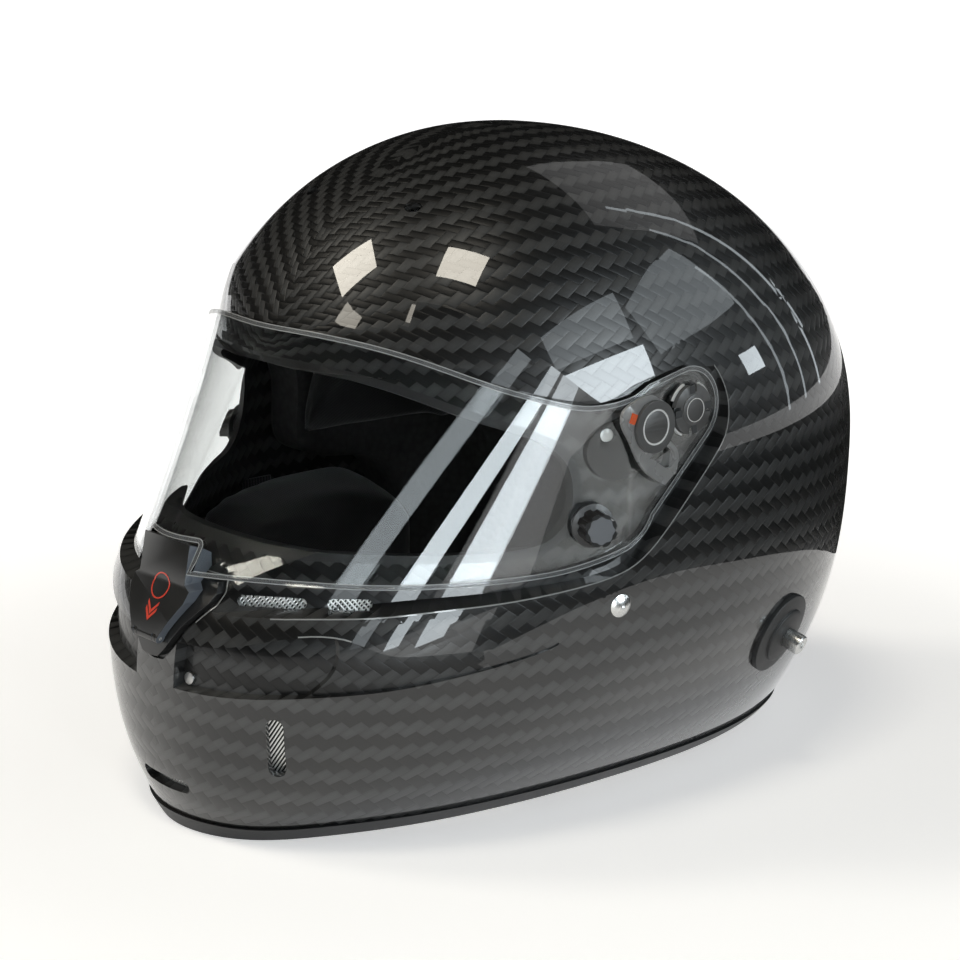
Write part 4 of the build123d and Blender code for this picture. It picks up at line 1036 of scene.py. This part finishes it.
def plain_white(name, tone):
    """A matt pale surface that the camera, mirrors and clear sheet see as plain white."""
    material = finish_of(name, (tone, tone, tone), 0.9)
    tree = material.node_tree
    glow = tree.nodes.new("ShaderNodeEmission")
    far = tree.nodes.new("ShaderNodeVectorMath")
    far.operation = "LENGTH"
    tree.links.new(object_place(material), far.inputs[0])
    share = tree.nodes.new("ShaderNodeMapRange")
    share.interpolation_type = "SMOOTHSTEP"
    share.inputs["From Min"].default_value, share.inputs["From Max"].default_value = 0.16, 0.75
    share.inputs["To Min"].default_value, share.inputs["To Max"].default_value = 0.52, 1.0
    tree.links.new(far.outputs["Value"], share.inputs["Value"])
    tree.links.new(times(seen_directly(tree), share.outputs[0]), glow.inputs["Strength"])
    both = tree.nodes.new("ShaderNodeAddShader")
    tree.links.new(tree.nodes["Principled BSDF"].outputs[0], both.inputs[0])
    tree.links.new(glow.outputs[0], both.inputs[1])
    tree.links.new(both.outputs[0], tree.nodes["Material Output"].inputs["Surface"])
    return material


floor_reach, floor_height = 12.0, -0.0002
corners = np.array([(-1, -1), (1, -1), (1, 1), (-1, 1)]) * floor_reach
corners = np.column_stack([corners, np.full(4, floor_height)])
new_piece("floor", corners, [(0, 1, 2, 3)], plain_white("pale_floor", 0.82))


# Studio: a white horizon under a dark ceiling, with square ceiling lamps and tall windows
# to the wearer's left, all of which the clear coat and the visor mirror.
world = bpy.data.worlds.new("studio")
bpy.context.scene.world = world
world.use_nodes = True
sky = world.node_tree
background = sky.nodes["Background"]
background.inputs["Color"].default_value = (1, 1, 1, 1)
sky.links.new(plus(0.7, times(seen_directly(sky), 0.3)), background.inputs["Strength"])


def dome_mesh(name, radius, lowest, material):
    """Inside of a sphere's cap: rows from its lowest angle to the top, turned all round."""
    rise, turn = np.meshgrid(np.linspace(lowest, np.pi / 2, 13), np.linspace(0, 2 * np.pi, 49), indexing="ij")
    flat = np.cos(rise)
    points = radius * np.stack([flat * np.cos(turn), flat * np.sin(turn), np.sin(rise)], axis=-1)
    number = np.arange(rise.size).reshape(rise.shape)
    low, high = number[:-1], number[1:]
    faces = np.stack([low[:, :-1], high[:, :-1], high[:, 1:], low[:, 1:]], axis=-1).reshape(-1, 4)
    return new_piece(name, points.reshape(-1, 3), faces.tolist(), material)


ceiling_grey = finish_of("ceiling_grey", (0.035, 0.036, 0.038), 0.9, Specular_IOR_Level=0.0)
ceiling = dome_mesh("ceiling", 4.5, np.radians(4), ceiling_grey)
ceiling.visible_camera = False


def lamp(name, azimuth, low, high, width, distance, glow, tone=(1, 1, 1), seen_from=(0, 0, 0.14)):
    """A rectangular lamp facing the helmet, across an azimuth and between two elevations.

    Angles are in degrees, azimuth from the front towards the wearer's left. Its power is
    pi times its area times its brightness.
    """
    turn, middle = np.radians(azimuth), np.radians((low + high) / 2)
    way = np.array([np.sin(turn) * np.cos(middle), -np.cos(turn) * np.cos(middle), np.sin(middle)])
    light = bpy.data.lights.new(name, "AREA")
    light.shape = "RECTANGLE"
    light.size = 2 * distance * np.tan(np.radians(width) / 2)
    light.size_y = 2 * distance * np.tan(np.radians(high - low) / 2)
    light.energy = np.pi * light.size * light.size_y * glow
    light.color = tone
    holder = in_scene(name, light)
    holder.location = way * distance + np.array(seen_from)
    holder.rotation_euler = Vector(-way).to_track_quat("-Z", "Y").to_euler()
    return holder


def screen_mesh(name, radius, start, end, height, material):
    """An upright wall on an arc round the helmet, from the floor to a height."""
    turn = np.radians(np.linspace(start, end, 40))
    foot = np.stack([radius * np.sin(turn), -radius * np.cos(turn), 0 * turn], 1)
    k = np.arange(len(turn) - 1)
    quads = np.stack([k, k + 1, k + 1 + len(turn), k + len(turn)], 1)
    return new_piece(name, np.concatenate([foot, foot + (0, 0, height)]), quads.tolist(), material)


# A low dark screen beside the helmet and a dark wall far behind it, out of the picture,
# keep the reflections of its left and rear deep. They take no light from anything.
dark_felt = finish_of("dark_felt", (0.03, 0.03, 0.03), 0.95, Specular_IOR_Level=0.0)
for name, radius, height in (("near_screen", 0.36, 0.13), ("far_wall", 4.2, 1.5)):
    screen = screen_mesh(name, radius, 68.0, 205.0, height, dark_felt)
    screen.visible_camera = screen.visible_diffuse = False
    screen.visible_transmission = screen.visible_shadow = False

daylight, warm = (0.86, 0.95, 1.0), (1.0, 0.94, 0.82)
lamp("near_window", 63.0, -9.5, 17.0, 8.5, 0.62, 9.0, daylight, seen_from=(0.098, -0.082, 0.13))
lamp("far_window", 53.2, -2.5, 26.0, 4.4, 3.0, 9.0, daylight)
lamp("side_wall", 41.0, 3.0, 24.0, 5.5, 3.2, 3.0, daylight)
lamp("ceiling_lamp_front", -48.0, 41.0, 53.0, 13.0, 3.0, 14.0, warm)
lamp("ceiling_lamp_side", 22.8, 64.5, 76.0, 16.0, 3.0, 14.0, warm)
lamp("small_lamp_front", -29.3, 36.0, 41.5, 9.0, 3.0, 6.0, warm)
lamp("small_lamp_side", 8.2, 47.0, 53.0, 10.0, 3.0, 6.0, warm)
for name, azimuth, low, high, width, glow in (
    ("bright_sky", 105.0, 10.0, 31.0, 34.0, 15.0),
    ("pale_wall", 103.0, 34.0, 47.0, 32.0, 2.4),
    ("pale_ceiling", 143.0, 25.0, 41.0, 26.0, 1.7),
    ("rear_window", 150.0, 9.0, 15.0, 6.0, 9.0),
    ("light_strip_near", 158.0, -6.0, 34.0, 0.9, 2.6),
    ("light_strip_middle", 166.0, -8.0, 44.0, 0.9, 2.6),
    ("light_strip_far", 175.0, -8.0, 52.0, 1.2, 2.6),
):
    # These are seen in the clear coat, and add no light of their own.
    lamp(name, azimuth, low, high, width, 3.0, glow, daylight).visible_diffuse = False
lamp("rear_tiles", 186.0, 36.0, 60.0, 30.0, 3.2, 0.5)


# The camera, at the photograph's angle.
azimuth, rise_angle, tilt = np.radians([48.4655, 13.9093, 0.5856])
centre = np.array([-0.0022637, -0.0034383, 0.1156339])
distance, lens = 1.050644, 92.1975
level = np.cos(rise_angle)
back_way = np.array([np.sin(azimuth) * level, -np.cos(azimuth) * level, np.sin(rise_angle)])
right_way = np.array([np.cos(azimuth), np.sin(azimuth), 0])
up_way = np.cross(back_way, right_way)
image_right = right_way * np.cos(tilt) + up_way * np.sin(tilt)
image_up = up_way * np.cos(tilt) - right_way * np.sin(tilt)
eye = centre + back_way * distance
camera_data = bpy.data.cameras.new("camera")
camera_data.lens = lens
camera_data.sensor_width = 36
camera = in_scene("camera", camera_data)
turn = np.eye(4)
turn[:3] = np.stack([image_right, image_up, back_way, eye], axis=1)
camera.matrix_world = Matrix(turn.tolist())
bpy.context.scene.camera = camera
bpy.context.scene.view_settings.view_transform = "Standard"
